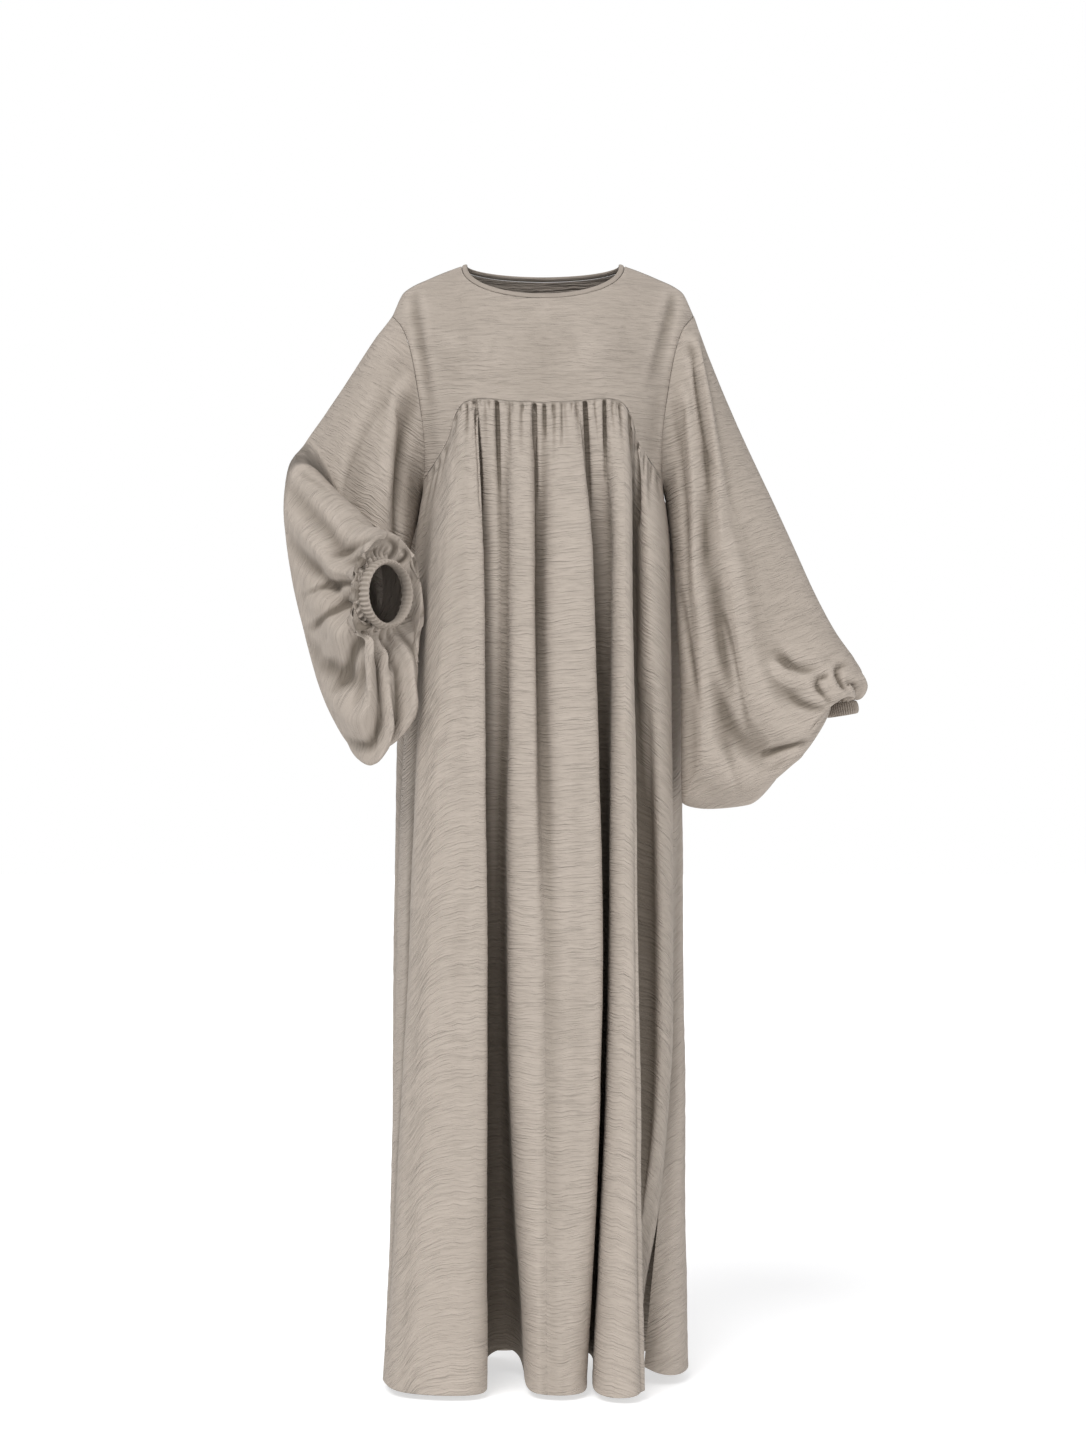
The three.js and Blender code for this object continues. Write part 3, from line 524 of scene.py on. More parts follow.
@dataclass(frozen=True)
class Crinkle:
    """The crinkle: scales in features per metre of cloth, and shares of the height and of the tone, which
    carries painted shade and highlight.
    """

    bend_scale: float = 22.0
    bend: tuple[float, float, float] = (0.012, 0.011, 0.0)
    broad_scale: tuple[float, float, float] = (16.0, 330.0, 1.0)
    fine_scale: tuple[float, float, float] = (50.0, 620.0, 1.0)
    weave_scale: float = 1500.0
    patch_scale: float = 7.0
    patch_strength: float = 1.2
    least_strength: float = 0.3
    fine_share: float = 0.6
    weave_share: float = 0.08
    tone_shift: float = -0.25
    patch_tone: float = 0.5
    painted_shade_range: tuple[float, float] = (-4.5, 1.2)
    painted_shade_tone: tuple[float, float] = (-1.9, 0.5)


def crinkle_group(made_as: Crinkle = Crinkle()) -> bpy.types.NodeTree:
    """Builds the crinkle group once: Cloth coordinates and PaintedFoldShade millimetres in, Height and Tone
    out.

    The height is a stretched noise, its ridges about twenty times longer across the cloth than along it, on
    coordinates that a slow noise bends. It is stronger in some patches than in others, and a finer copy and
    an even weave grain ride on it. The tone is painted shade and highlight: lighter on the broad crinkle
    ridges, with random lighter patches, and painted shade in the folds' valleys and painted highlight on
    their ridges.

    Args:
        made_as: The crinkle's scales and shares.

    Returns:
        The shader node group.
    """
    if "crinkle" in bpy.data.node_groups:
        return bpy.data.node_groups["crinkle"]
    tree = bpy.data.node_groups.new("crinkle", "ShaderNodeTree")
    for name, way, kind in (
        ("Cloth", "INPUT", "Vector"), ("PaintedFoldShade", "INPUT", "Float"),
        ("Height", "OUTPUT", "Float"), ("Tone", "OUTPUT", "Float"),
    ):
        tree.interface.new_socket(name, in_out=way, socket_type=f"NodeSocket{kind}")
    start, end = tree.nodes.new("NodeGroupInput"), tree.nodes.new("NodeGroupOutput")
    cloth = start.outputs["Cloth"]

    def noise(vector: bpy.types.NodeSocket, scale: float, detail: float = 1.0) -> bpy.types.Node:
        """Adds a noise texture on the vector."""
        return add(tree, "TexNoise", {"Scale": scale, "Detail": detail, "Roughness": 0.5, "Vector": vector})

    def math(kind: str, *values: bpy.types.NodeSocket | float) -> bpy.types.NodeSocket:
        """Adds a math node of the values."""
        return add(tree, "Math", dict(enumerate(values)), operation=kind).outputs[0]

    def stretched(scale: tuple[float, float, float]) -> bpy.types.NodeSocket:
        """Adds a noise on the bent coordinates, drawn out across the cloth."""
        scaled = add(tree, "Mapping", {"Scale": scale, "Vector": bent})
        return noise(scaled.outputs["Vector"], 1.0).outputs["Fac"]

    slow = noise(cloth, made_as.bend_scale, detail=2.0).outputs["Color"]
    bending = {0: slow, 1: made_as.bend, 2: cloth}
    bent = add(tree, "VectorMath", bending, operation="MULTIPLY_ADD").outputs["Vector"]
    broad, fine = stretched(made_as.broad_scale), stretched(made_as.fine_scale)
    weave = noise(cloth, made_as.weave_scale).outputs["Fac"]
    patch = noise(cloth, made_as.patch_scale).outputs["Fac"]
    strength = math("MULTIPLY_ADD", patch, made_as.patch_strength, made_as.least_strength)
    ridges = math("ADD", math("MULTIPLY", broad, strength), math("MULTIPLY", fine, made_as.fine_share))
    height = math("ADD", ridges, math("MULTIPLY", weave, made_as.weave_share))
    # Painted shade: lighter on the broad crinkle ridges and darker between them, plus random tone in patches.
    ridge_shade_and_patches = math("ADD", math("ADD", broad, made_as.tone_shift), math("MULTIPLY", patch, made_as.patch_tone))
    (low, high), (darker, lighter) = made_as.painted_shade_range, made_as.painted_shade_tone
    limits = {"From Min": low, "From Max": high, "To Min": darker, "To Max": lighter}
    # Painted shade in the folds' valleys and painted highlight on their ridges.
    shade = add(tree, "MapRange", {**limits, "Value": start.outputs["PaintedFoldShade"]})
    feed(end, {"Height": height, "Tone": math("ADD", ridge_shade_and_patches, shade.outputs["Result"])})
    return tree


# Each finish's light and dark colours are lit and shaded copies of one beige, mixed by the painted shade of
# the crinkle tone.
CREPE = Crepe("crepe", light=(0.430, 0.374, 0.322), dark=(0.328, 0.283, 0.240), crinkle=3.1)
TRIM = Crepe("trim", light=(0.372, 0.323, 0.277), dark=(0.292, 0.251, 0.212), crinkle=1.2)
FINISHES = {Slot.CREPE: CREPE.material(), Slot.TRIM: TRIM.material()}


def dress(piece: bpy.types.Object, node: str, slot: Slot) -> None:
    """Gives a piece its finish, its body and the node that it stands for.

    Args:
        piece: The new piece.
        node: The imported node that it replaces.
        slot: The record's material slot.
    """
    piece.data.materials.append(FINISHES[slot])
    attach(piece, "root")
    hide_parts(node)
    cloth = sum(face.area for face in piece.data.polygons)
    LOG.info("%s: %d points, %.3f square metres", piece.name, len(piece.data.vertices), cloth)


CREASES = "x0 z0 x1 z1 x2 z2 width depth"
YOKE_CREASES = table(CREASES, [
    (172.9, -29.8, 158.5, -91.4, 140.2, -160.8, 8, -4),
    (-169, -32.5, -161.1, -104.5, -150.7, -176.6, 8, -3.5),
    (142.8, -176.6, 137.6, -222.4, 140.2, -261.7, 18, -2.5),
    (-145.4, -95.3, -108.7, -103.2, -66.8, -113.7, 16, 3.5),
    (41.9, -111.1, 74.7, -101.9, 108.7, -92.7, 16, 3.5),
    (-121.8, -142.5, -3.9, -154.3, 103.5, -139.9, 14, -2.5),
])


def creased(points: np.ndarray, normal: np.ndarray, creases: dict[str, np.ndarray]) -> np.ndarray:
    """Sums the creases that are drawn on the side that faces the front.

    Each crease is a curve through three places of the front drawing, seen from VIEW_DISTANCE away. Its
    height is a bell of the distance from that curve, and rises and falls along it as half a sine wave.

    Args:
        points: The sheet's points in millimetres.
        normal: The sheet's outward directions.
        creases: A table with the columns CREASES.

    Returns:
        The height at each point in millimetres.
    """
    nearer = 1.0 + points[..., 1] / VIEW_DISTANCE
    seen = np.stack([points[..., 0] / nearer, VIEW_HEIGHT + (points[..., 2] - VIEW_HEIGHT) / nearer], -1)
    facing = ease((-normal[..., 1] - 0.05) / 0.4)
    t = np.linspace(0.0, 1.0, CREASE_STEPS + 1)[:, None]
    total = np.zeros(facing.shape)
    for *places, width, depth in zip(*(creases[name] for name in CREASES.split())):
        first, middle, last = np.array(places).reshape(3, 2)
        pull = 2 * middle - (first + last) / 2
        line = (1 - t) ** 2 * first + 2 * t * (1 - t) * pull + t**2 * last
        step = np.diff(line, axis=0)
        offset = seen[..., None, :] - line[:-1]
        along = np.clip((offset * step).sum(-1) / (step**2).sum(-1), 0.0, 1.0)
        away = np.linalg.norm(offset - along[..., None] * step, axis=-1)
        nearest = away.argmin(-1)[..., None]
        share = (nearest + np.take_along_axis(along, nearest, -1))[..., 0] / CREASE_STEPS
        total += depth * np.sin(np.pi * (0.03 + 0.94 * share)) ** 0.6 * bell(away.min(-1), width)
    return total * facing


@dataclass
class Yoke:
    """One yoke: smooth cloth from neckline and shoulders to the gathered seam."""

    name: str
    facing: float
    neck_drop: float
    neck_half: float = 107.0
    shoulder_x: float = 198.0
    columns: int = 190
    rows: int = 84
    wall: float = 1.2
    flat: tuple[float, float] = (0.46, 0.34)

    def place(self, share: np.ndarray, drop: np.ndarray) -> np.ndarray:
        """Gives the yoke's points on the figure.

        The top edge runs along a quarter turn of the neckline for half its share and then down the
        shoulder; each column goes straight to the seam, and the outer ones swing to the armhole's line.

        Args:
            share: Places across, -1 to 1.
            drop: Places down, 0 at the top edge and 1 at the seam.

        Returns:
            Points on the figure.
        """
        s = np.abs(share)
        angle = np.minimum(1.0, s / 0.5) * np.pi / 2
        along = np.maximum(0.0, (s - 0.5) / 0.5)
        on_neck = s <= 0.5
        neck_x = self.neck_half * np.sin(angle)
        neck_z = -self.neck_drop * np.maximum(0.0, np.cos(angle)) ** 0.9
        top_x = np.where(on_neck, neck_x, mix(self.neck_half, self.shoulder_x, along))
        top_z = np.where(on_neck, neck_z, ridge_z(top_x))
        z = mix(top_z, seam_z(s), drop)
        swing = armhole_x(z) - mix(self.shoulder_x, SIDE_X, drop)
        x = (mix(top_x, seam_x(s), drop) + swing * along**2) * np.sign(share)
        return np.stack([x, FIGURE.y(x, z, self.facing), z], -1)

    def build(self) -> bpy.types.Object:
        """Builds the yoke with a slight roll along its seam."""
        share = np.linspace(-1.0, 1.0, self.columns)[None, :]
        drop = np.linspace(0.0, 1.0, self.rows)[:, None] + 0 * share
        share = share + 0 * drop
        points = self.place(share, drop)
        edge, _ = seam_edge(points[-1, :, 0], self.facing, downwards=False)
        points[-1] = edge
        u, v = cloth_metres(points)
        normals = FIGURE.normal(points[..., 0], points[..., 2], self.facing)
        below = (1.0 - drop) * (points[0, :, 2] - points[-1, :, 2])
        inside = ease(drop * 12.0) * ease((1.0 - np.abs(share)) * 14.0)
        relief = 0.5 * wander(u, v, seed=3) * inside * ease((1 - drop) * 10) + 0.8 * bell(below - 2.5, 3.0)
        if self.facing < 0:
            relief = relief + creased(points, normals, YOKE_CREASES) * inside * ease((1 - drop) * 6)
        points = points + normals * relief[..., None]
        uv = np.stack([points[..., 0], points[..., 2]], -1) * MM
        if self.facing > 0:
            points, uv = points[:, ::-1], uv[:, ::-1]
        piece = make_mesh(self.name, points, uv)
        thicken(piece, self.wall)
        return piece

    def dress(self, piece: bpy.types.Object) -> None:
        """Dresses the yoke and logs its cloth area."""
        dress(piece, self.name, Slot.CREPE)


FOLD_COLUMNS = "seam hip_x hip_y knee_x knee_y hem_x hem_y rise"
FRONT_FOLDS = table(FOLD_COLUMNS, [
    (-157, -167, 6, -193, 14, -190, 24, 8),
    (-153, -167, -26, -190, -20, -203, -22, 6),
    (-147, -163, -58, -181, -50, -207, -62, 6),
    (-139, -154, -82, -173, -70, -204, -84, 5),
    (-130, -146, -104, -174, -100, -197, -108, 3),
    (-122, -139, -122, -165, -126, -184, -126, 1),
    (-112, -124, -133, -146, -141, -163, -139, 0),
    (-103, -108, -138, -122, -148, -135, -147, 0),
    (-95, -93, -141, -98, -151, -107, -149, 0),
    (-88, -81, -141, -80, -151, -86, -143, 0),
    (-85, -76, -135, -71, -143, -73, -125, 0),
    (-84.5, -80, -121, -76, -115, -72, -95, 4),
    (-82, -79, -111, -80, -84, -78, -50, 12),
    (-76, -71, -113, -74, -64, -74, -12, 22),
    (-66, -62, -118, -64, -58, -60, 6, 28),
    (-58, -53, -117, -54, -60, -44, 8, 30),
    (-49, -45, -120, -48, -78, -31, -12, 24),
    (-43, -42, -128, -45, -106, -25, -52, 12),
    (-36, -36, -137, -40, -129, -23, -92, 5),
    (-26, -25, -141, -28, -142, -17, -121, 1),
    (-17, -15, -140, -14, -147, -8, -136, 0),
    (-12.5, -11, -131, -5, -147, -1, -141, 0),
    (-11, -12, -117, 1, -145, 4, -144, 0),
    (-5, -7, -113, 6, -143, 8, -145.5, 0),
    (3, 1, -118, 12, -143.5, 14, -147, 0),
    (9, 7, -130, 20, -147, 20, -148, 0),
    (18, 17, -141, 31, -151, 27, -147, 0),
    (30, 34, -146, 46, -153, 36, -144, 0),
    (38, 50, -147, 60, -153.5, 45, -137, 0),
    (42.5, 60, -143, 70, -151, 52, -126, 0),
    (44.5, 62, -134, 75, -141, 56, -108, 2),
    (45.5, 57, -118, 72, -112, 55, -78, 6),
    (49, 58, -106, 70, -72, 51, -36, 14),
    (56, 67, -104, 73, -42, 54, -2, 24),
    (66, 78, -107, 80, -42, 62, 6, 24),
    (76, 86, -112, 83, -72, 68, -30, 16),
    (83, 89, -124, 83, -112, 64, -84, 8),
    (89, 94, -134, 87, -140, 66, -128, 2),
    (97, 102, -138, 97, -155, 80, -155, 0),
    (104, 109, -136, 109, -160, 99, -165, 0),
    (109, 113, -127, 118, -158, 117, -162, 2),
    (112, 113, -110, 121, -147, 127, -149, 5),
    (114, 112, -92, 118, -116, 128, -135, 7),
    (117, 115, -82, 117, -84, 127, -121, 9),
    (122, 121, -84, 124, -62, 126, -107, 11),
    (128, 125, -98, 136, -57, 125, -94, 13),
    (134, 133, -107, 147, -59, 124.5, -83, 14),
    (140, 142, -106, 155, -58, 124.5, -73, 15),
    (146, 152, -94, 162, -52, 125, -65, 15),
    (151, 159, -70, 167, -45, 126, -58, 16),
    (155, 164, -36, 169, -38, 128, -51, 16),
    (157, 167, 4, 168, -30, 131, -46, 16),
])
BACK_FOLDS = table(FOLD_COLUMNS, [
    (157, 167, 4.3, 168, -29.7, 131.3, -46, 16),
    (156, 178, 18, 168, -18, 141, -51, 12),
    (153, 183, 30, 172, -4, 153, -54.5, 8),
    (149, 183, 42, 179, 6, 167, -51, 6),
    (144, 176, 52, 184, 16, 179, -38, 6),
    (138, 166, 63, 185, 28, 187, -17, 7),
    (131, 156, 72, 182, 42, 190, 8, 8),
    (124, 148, 80, 176, 58, 187, 34, 8),
    (117, 140, 78, 166, 62, 178, 54, 12),
    (110, 131, 84, 157, 66, 166, 62, 16),
    (102, 123, 98, 149, 88, 156, 78, 12),
    (95, 114, 108, 140, 106, 148, 104, 6),
    (88, 104, 112, 126, 116, 135, 124, 3),
    (81, 94, 110, 110, 117, 116, 133, 2),
    (75, 86, 102, 98, 108, 98, 128, 3),
    (70, 82, 90, 92, 90, 88, 106, 10),
    (63, 75, 86, 86, 72, 84, 76, 18),
    (56, 66, 92, 77, 70, 76, 58, 22),
    (49, 58, 104, 66, 86, 62, 66, 16),
    (41, 50, 114, 60, 108, 54, 100, 8),
    (32, 40, 120, 48, 124, 44, 132, 2),
    (22, 28, 121, 32, 131, 26, 146, 0),
    (13, 17, 116, 17, 129, 8, 147, 0),
    (7, 9, 105, 8, 116, -4, 134, 4),
    (1, 5, 93, 4, 94, -8, 104, 12),
    (-6, -2, 90, -3, 80, -12, 74, 20),
    (-13, -11, 97, -13, 84, -24, 66, 22),
    (-21, -20, 109, -22, 104, -36, 84, 14),
    (-30, -30, 118, -33, 122, -44, 112, 6),
    (-40, -42, 122, -50, 132, -60, 136, 1),
    (-49, -54, 120, -67, 132, -82, 142, 0),
    (-57, -65, 112, -82, 124, -100, 134, 2),
    (-64, -72, 98, -91, 104, -110, 110, 10),
    (-71, -79, 90, -97, 84, -114, 82, 18),
    (-79, -88, 92, -107, 76, -122, 62, 22),
    (-88, -98, 102, -118, 88, -134, 66, 16),
    (-97, -108, 110, -128, 104, -142, 88, 8),
    (-106, -120, 110, -142, 112, -154, 108, 3),
    (-114, -131, 104, -157, 108, -172, 112, 2),
    (-121, -141, 94, -170, 96, -187, 104, 3),
    (-128, -150, 84, -180, 80, -198, 86, 5),
    (-135, -158, 72, -188, 62, -204, 64, 6),
    (-143, -178, 56, -195, 46, -204, 48, 7),
    (-150, -184, 36, -197, 30, -198, 36, 8),
    (-157, -167, 6.3, -193, 14.3, -190, 24.3, 8),
])
SKIRT_CREASES = table(CREASES, [
    (-92.4, -150.4, -83.8, -242.1, -81.2, -320.7, 2.2, -7),
    (-13.1, -153, -9.8, -229, -8.5, -307.6, 2.2, -7),
    (53.7, -153, 57.6, -229, 61.6, -314.1, 2.2, -7),
    (112.7, -179.2, 115.3, -229, 117.9, -294.5, 2, -5),
    (123.8, -202.8, 125.1, -252.5, 124.5, -340.3, 2.4, -8),
    (-60.3, -158.2, -59, -215.9, -57, -294.5, 2, -4),
    (79.9, -163.5, 80.6, -215.9, 81.2, -281.4, 2, -4),
    (24.2, -160.8, 24.4, -196.2, 23.6, -236.8, 1.9, -3.5),
    (1.3, -160.8, 2, -192.3, 2.6, -229, 1.9, -3),
    (-72, -158.2, -71.4, -176.6, -70.7, -192.3, 1.8, -3),
    (-40, -158.2, -40, -179.2, -40.6, -196.2, 1.8, -2.5),
    (-26.2, -158.2, -26.2, -179.2, -26.9, -192.3, 1.8, -2.5),
    (38.6, -158.2, 38, -179.2, 37.3, -193.6, 1.8, -3),
    (98.2, -163.5, 96.9, -184.4, 96.3, -198.8, 1.8, -3),
    (13.1, -158.2, 13.1, -179.2, 12.4, -196.2, 1.8, -2.5),
    (-118.6, -168.7, -120.5, -189.7, -123.1, -211.9, 2, -3.5),
    (-107.4, -158.2, -108.1, -179.2, -108.7, -192.3, 1.8, -2.5),
    (134.9, -236.8, 133.6, -255.2, 132.3, -277.4, 1.9, -4),
    (144.1, -249.9, 142.8, -265.6, 141.5, -285.3, 1.8, -3),
    (135, -560, 137, -960, 138, -1519.3, 12, -15),
])
NO_CREASES = table(CREASES, [(0, 0, 0, 1, 0, 2, 1, 0)])
FRONT_GATHERS = table("at depth run", [
    (-150, 2.5, 50), (-143, 3.5, 70), (-134, 4, 60), (-123.5, 5, 80), (-111, 4.5, 60), (-98, 4, 55),
    (-86, 5.5, 120), (-74, 4, 60), (-60, 5.5, 110), (-43, 4.5, 70), (-28, 4, 60), (-13, 5.5, 110),
    (1, 4, 60), (15, 4.5, 70), (28, 4, 55), (42, 5, 60), (54, 5, 90), (66, 4, 60), (79, 5.5, 100),
    (89, 4, 50), (99, 4, 55), (111, 5, 70), (120, 4.5, 90), (128, 3.5, 50), (137, 4, 80), (148, 2.5, 50),
])
BACK_GATHERS = table("at depth run", [
    (149, 2.5, 50), (138, 4, 70), (128, 3.5, 60), (118, 4.5, 80), (106, 4, 60), (94, 4.5, 90),
    (83, 4, 55), (70, 5.5, 110), (57, 4, 60), (45, 4.5, 70), (31, 4, 60), (17, 4.5, 80), (3, 5.5, 110),
    (-11, 4, 60), (-24, 4.5, 70), (-37, 4, 55), (-50, 4.5, 80), (-64, 5.5, 110), (-77, 4, 60),
    (-89, 4.5, 70), (-101, 4, 60), (-113, 4.5, 90), (-124, 4, 60), (-135, 4, 70), (-147, 2.5, 50),
])


def spline_weights(count: int, t: np.ndarray) -> np.ndarray:
    """Gives the weights of a clamped cubic B-spline.

    Args:
        count: How many fold rows it runs over.
        t: Parameters from 0 to count + 1.

    Returns:
        One row of count weights for each parameter.
    """
    i = np.minimum(count, np.floor(t)).astype(int)
    f = t - i
    parts = [
        (1 - f) ** 3 / 6,
        (3 * f**3 - 6 * f**2 + 4) / 6,
        (-3 * f**3 + 3 * f**2 + 3 * f + 1) / 6,
        f**3 / 6,
    ]
    weights = np.zeros((len(t), count))
    for offset, part in zip((-2, -1, 0, 1), parts):
        np.add.at(weights, (np.arange(len(t)), np.clip(i + offset, 0, count - 1)), part)
    return weights


def sharpened(values: np.ndarray) -> np.ndarray:
    """Moves spline controls so that the spline itself passes close to the table's values.

    Args:
        values: One column of the fold table.

    Returns:
        The values with their own softening, a sixth of each neighbour, taken off three times.
    """
    made = values.astype(float).copy()
    for _ in range(3):
        soft = (made[:-2] + 4 * made[1:-1] + made[2:]) / 6
        made[1:-1] += values[1:-1] - soft
    return made


@dataclass
class SkirtPanel:
    """One skirt panel: large folds from the fold table, small gathers under the yoke seam."""

    name: str
    facing: float
    folds: dict[str, np.ndarray]
    gathers: dict[str, np.ndarray]
    creases: dict[str, np.ndarray]
    seed: int
    flat: tuple[float, float] = (1.12, 1.27)
    cut_area: float = 1.2
    hip_z: float = -380.0
    knee_z: float = -950.0
    hem_z: float = -1450.0
    spring_out: float = 5.0
    spring_drop: float = 34.0
    gather_width: float = 2.3
    gather_spread: tuple[float, float] = (0.45, 1.35)
    slits: int = 22
    slit_width: float = 1.7
    slit_depths: tuple[float, float] = (1.2, 3.2)
    slit_runs: tuple[float, float] = (7.0, 22.0)
    slit_margin: float = 6.0
    stand_off: float = 0.5
    gather_start: float = 6.0
    columns: int = 292
    wall: float = 1.2
    row_counts: tuple[int, int, int] = (36, 100, 12)

    def row_shares(self) -> np.ndarray:
        """Gives the rows' places down the panel, close together at the seam and the hem."""
        top, middle, low = self.row_counts
        return np.concatenate([
            np.linspace(0.0, 0.09, top, endpoint=False),
            np.linspace(0.09, 0.985, middle, endpoint=False),
            np.linspace(0.985, 1.0, low),
        ])

    def build(self) -> bpy.types.Object:
        """Builds the panel.

        At each height the folds' control points are read from smooth curves through seam, hip, knee and
        hem, and a cubic B-spline over them gives the section. The gathers push narrow valleys in along the
        seam's outward direction, fading with depth; a spring below the seam and an uneven relief are added.

        Returns:
            The panel's object.
        """
        count = len(self.folds["seam"])
        t = np.linspace(0.0, count + 1.0, self.columns)
        weights = spline_weights(count, t)
        station = weights @ self.folds["seam"]
        station[0], station[-1] = self.folds["seam"][0], self.folds["seam"][-1]
        edge, normal = seam_edge(station, self.facing, downwards=True)
        hem = weights @ (self.hem_z + self.folds["rise"])
        rows = self.row_shares()[:, None]
        z = mix(edge[:, 2], hem, rows)
        drop = edge[:, 2] - z
        top = seam_z(np.interp(np.abs(self.folds["seam"]), FINE_SEAM_X, FINE_SHARES))
        seam_y = FIGURE.y(self.folds["seam"], top, self.facing)
        x, y = np.zeros_like(z), np.zeros_like(z)
        placed = {key: sharpened(self.folds[key]) for key in FOLD_COLUMNS.split()[1:-1]}
        levels = ("hem", "knee", "hip")
        for i in range(count):
            heights = [self.hem_z + self.folds["rise"][i], self.knee_z, self.hip_z, top[i]]
            near = np.flatnonzero(weights[:, i] > 0)
            at = z[:, near]
            fold_x = [placed[f"{level}_x"][i] for level in levels] + [self.folds["seam"][i]]
            fold_y = [placed[f"{level}_y"][i] for level in levels] + [seam_y[i]]
            x[:, near] += weights[near, i] * Curve(heights, fold_x)(at)
            y[:, near] += weights[near, i] * Curve(heights, fold_y)(at)
        own = ease(drop / 30.0)
        spring = self.facing * self.spring_out * ease(drop / 12.0) * np.exp(-drop / self.spring_drop)
        pleat = np.zeros_like(z)
        rng = np.random.default_rng(self.seed)
        for at, depth, run in zip(self.gathers["at"], self.gathers["depth"], self.gathers["run"]):
            reach = run * (run / 90.0) ** 0.8
            fade = ease(drop / self.gather_start) * np.exp(-((drop / reach) ** 2))
            width = self.gather_width * (0.85 + 0.0025 * run + 0.006 * drop)
            pleat -= rng.uniform(*self.gather_spread) * depth * fade * bell(station - at, width)
        reach = SIDE_X - self.slit_margin
        places = np.sort(rng.uniform(-reach, reach, self.slits))
        depths, runs = (rng.uniform(*limits, self.slits) for limits in (self.slit_depths, self.slit_runs))
        for at, depth, run in zip(places, depths, runs):
            fade = ease(drop / 4.0) * np.exp(-((drop / run) ** 2))
            pleat -= depth * fade * bell(station - at, self.slit_width)
        level = unit(normal * np.array([1.0, 1.0, 0.0]))
        points = np.stack([
            mix(edge[:, 0], x, own) + level[:, 0] * pleat,
            mix(edge[:, 1], y, own) + spring + level[:, 1] * pleat,
            z,
        ], -1)
        u, v = cloth_metres(points)
        hem_width = np.linalg.norm(np.diff(points[-1], axis=0), axis=-1).sum() * MM
        LOG.info("%s: hem %.3f m, length %.3f to %.3f m", self.name, hem_width, v[-1].min(), v[-1].max())
        inside = ease(np.minimum(u, u[:, -1:] - u) / 0.03) * ease(drop / 40.0)
        relief = 1.1 * wander(u, v * 0.35, self.seed) + 0.35 * wander(u * 0.3, v, self.seed + 1, 0.03)
        outward = grid_normals(points, wrap=False)
        relief = relief * inside + self.stand_off + creased(points, outward, self.creases) * ease(drop / 4.0)
        points = points + outward * relief[..., None]
        piece = make_mesh(self.name, points, np.stack([u, v], -1))
        thicken(piece, self.wall)
        return piece

    def dress(self, piece: bpy.types.Object, yoke: str) -> None:
        """Dresses the panel and logs its cloth area.

        Args:
            piece: The panel's object.
            yoke: The name of the yoke that it hangs from; not used.
        """
        dress(piece, self.name, Slot.CREPE)


SLEEVE_COLUMNS = "top_x top_y top_z low_x low_y low_z wide out in turn"
FOLD_LINES = "from to from_angle to_angle width depth"
RIGHT_RINGS = table(SLEEVE_COLUMNS, [
    (-198, 6, -66, -157, 10, -288, 0.5, 56, 54, 0),
    (-216, 4, -90, -162, 5, -322, 0.42, 58, 58, 0),
    (-247, 4, -138, -174, -34, -382, 0.34, 56, 56, 0),
    (-282, 5, -190, -185, -46, -444, 0.3, 54, 56, -4),
    (-311, 2, -232, -196, -52, -512, 0.3, 50, 52, -20),
    (-322, -12, -252, -232, -52, -588, 0.34, 46, 34, -62),
    (-310, -38, -264, -243, -78, -624, 0.36, 48, 43, -98),
    (-284, -72, -290, -229, -106, -641, 0.36, 50, 44, -112),
    (-254, -108, -320, -214, -128, -645, 0.36, 54, 42, -114),
    (-226, -132, -348, -200, -140, -634, 0.38, 50, 42, -112),
    (-206, -146, -354, -188, -146, -598, 0.4, 46, 44, -114),
    (-196, -156, -361, -189, -152, -542, 0.44, 46, 50, -124),
    (-208.6, -156.6, -384, -208.6, -156.6, -491, 0.5, 45, 42, -136),
    (-204, -160, -397, -204, -160, -477, 0.5, 38, 38, -136),
])
LEFT_RINGS = table(SLEEVE_COLUMNS, [
    (198, 6, -66, 157, 10, -288, 0.5, 56, 54, 0),
    (206, 4, -90, 162, 2, -316, 0.45, 57, 57, 0),
    (230, 0, -152, 168, -16, -370, 0.38, 54, 56, 0),
    (264, -4, -230, 173, -28, -460, 0.32, 50, 54, 0),
    (297, -8, -304, 179, -30, -570, 0.28, 48, 54, 0),
    (329, -12, -376, 180.5, -32, -702, 0.28, 52, 56, 0),
    (355, -16, -433, 214, -34, -711, 0.3, 60, 60, 0),
    (381, -20, -481, 266, -38, -706, 0.36, 70, 66, 0),
    (404, -24, -514, 309, -40, -664, 0.38, 72, 66, 0),
    (415, -27, -534, 337, -38, -616, 0.36, 64, 60, 0),
    (416, -29, -548, 352, -34, -588, 0.36, 49, 50, 0),
    (413, -30, -561, 360, -31, -573, 0.44, 41, 43, 0),
    (405, -30, -570, 369, -30, -576, 0.5, 34, 34, 0),
])
RIGHT_LINES = table(FOLD_LINES, [
    (0.2, 2.8, 70, 138, 9, 8),
    (0.2, 3.0, 92, 158, 10, -9),
    (1.2, 5.2, 80, 112, 12, -7),
    (1.6, 5.2, 110, 146, 11, 7),
    (1.0, 5.4, 232, 222, 16, -8),
    (2.0, 6.0, 284, 272, 15, -8),
    (5.6, 12.2, 322, 304, 10, -9),
    (6.0, 12.4, 302, 288, 8, 9),
    (6.2, 12.2, 284, 272, 8, -12),
    (6.8, 12.4, 264, 256, 7, 10),
    (6.0, 12.2, 242, 238, 8, -13),
    (6.8, 12.4, 222, 220, 7, 10),
    (6.4, 12.2, 200, 202, 8, -12),
    (5.6, 12.4, 184, 186, 6, 11),
    (5.8, 12.2, 166, 170, 7, -13),
    (6.4, 12.4, 140, 148, 9, 9),
    (6.2, 12.2, 104, 112, 10, -9),
    (6.8, 12.2, 52, 60, 10, 8),
])
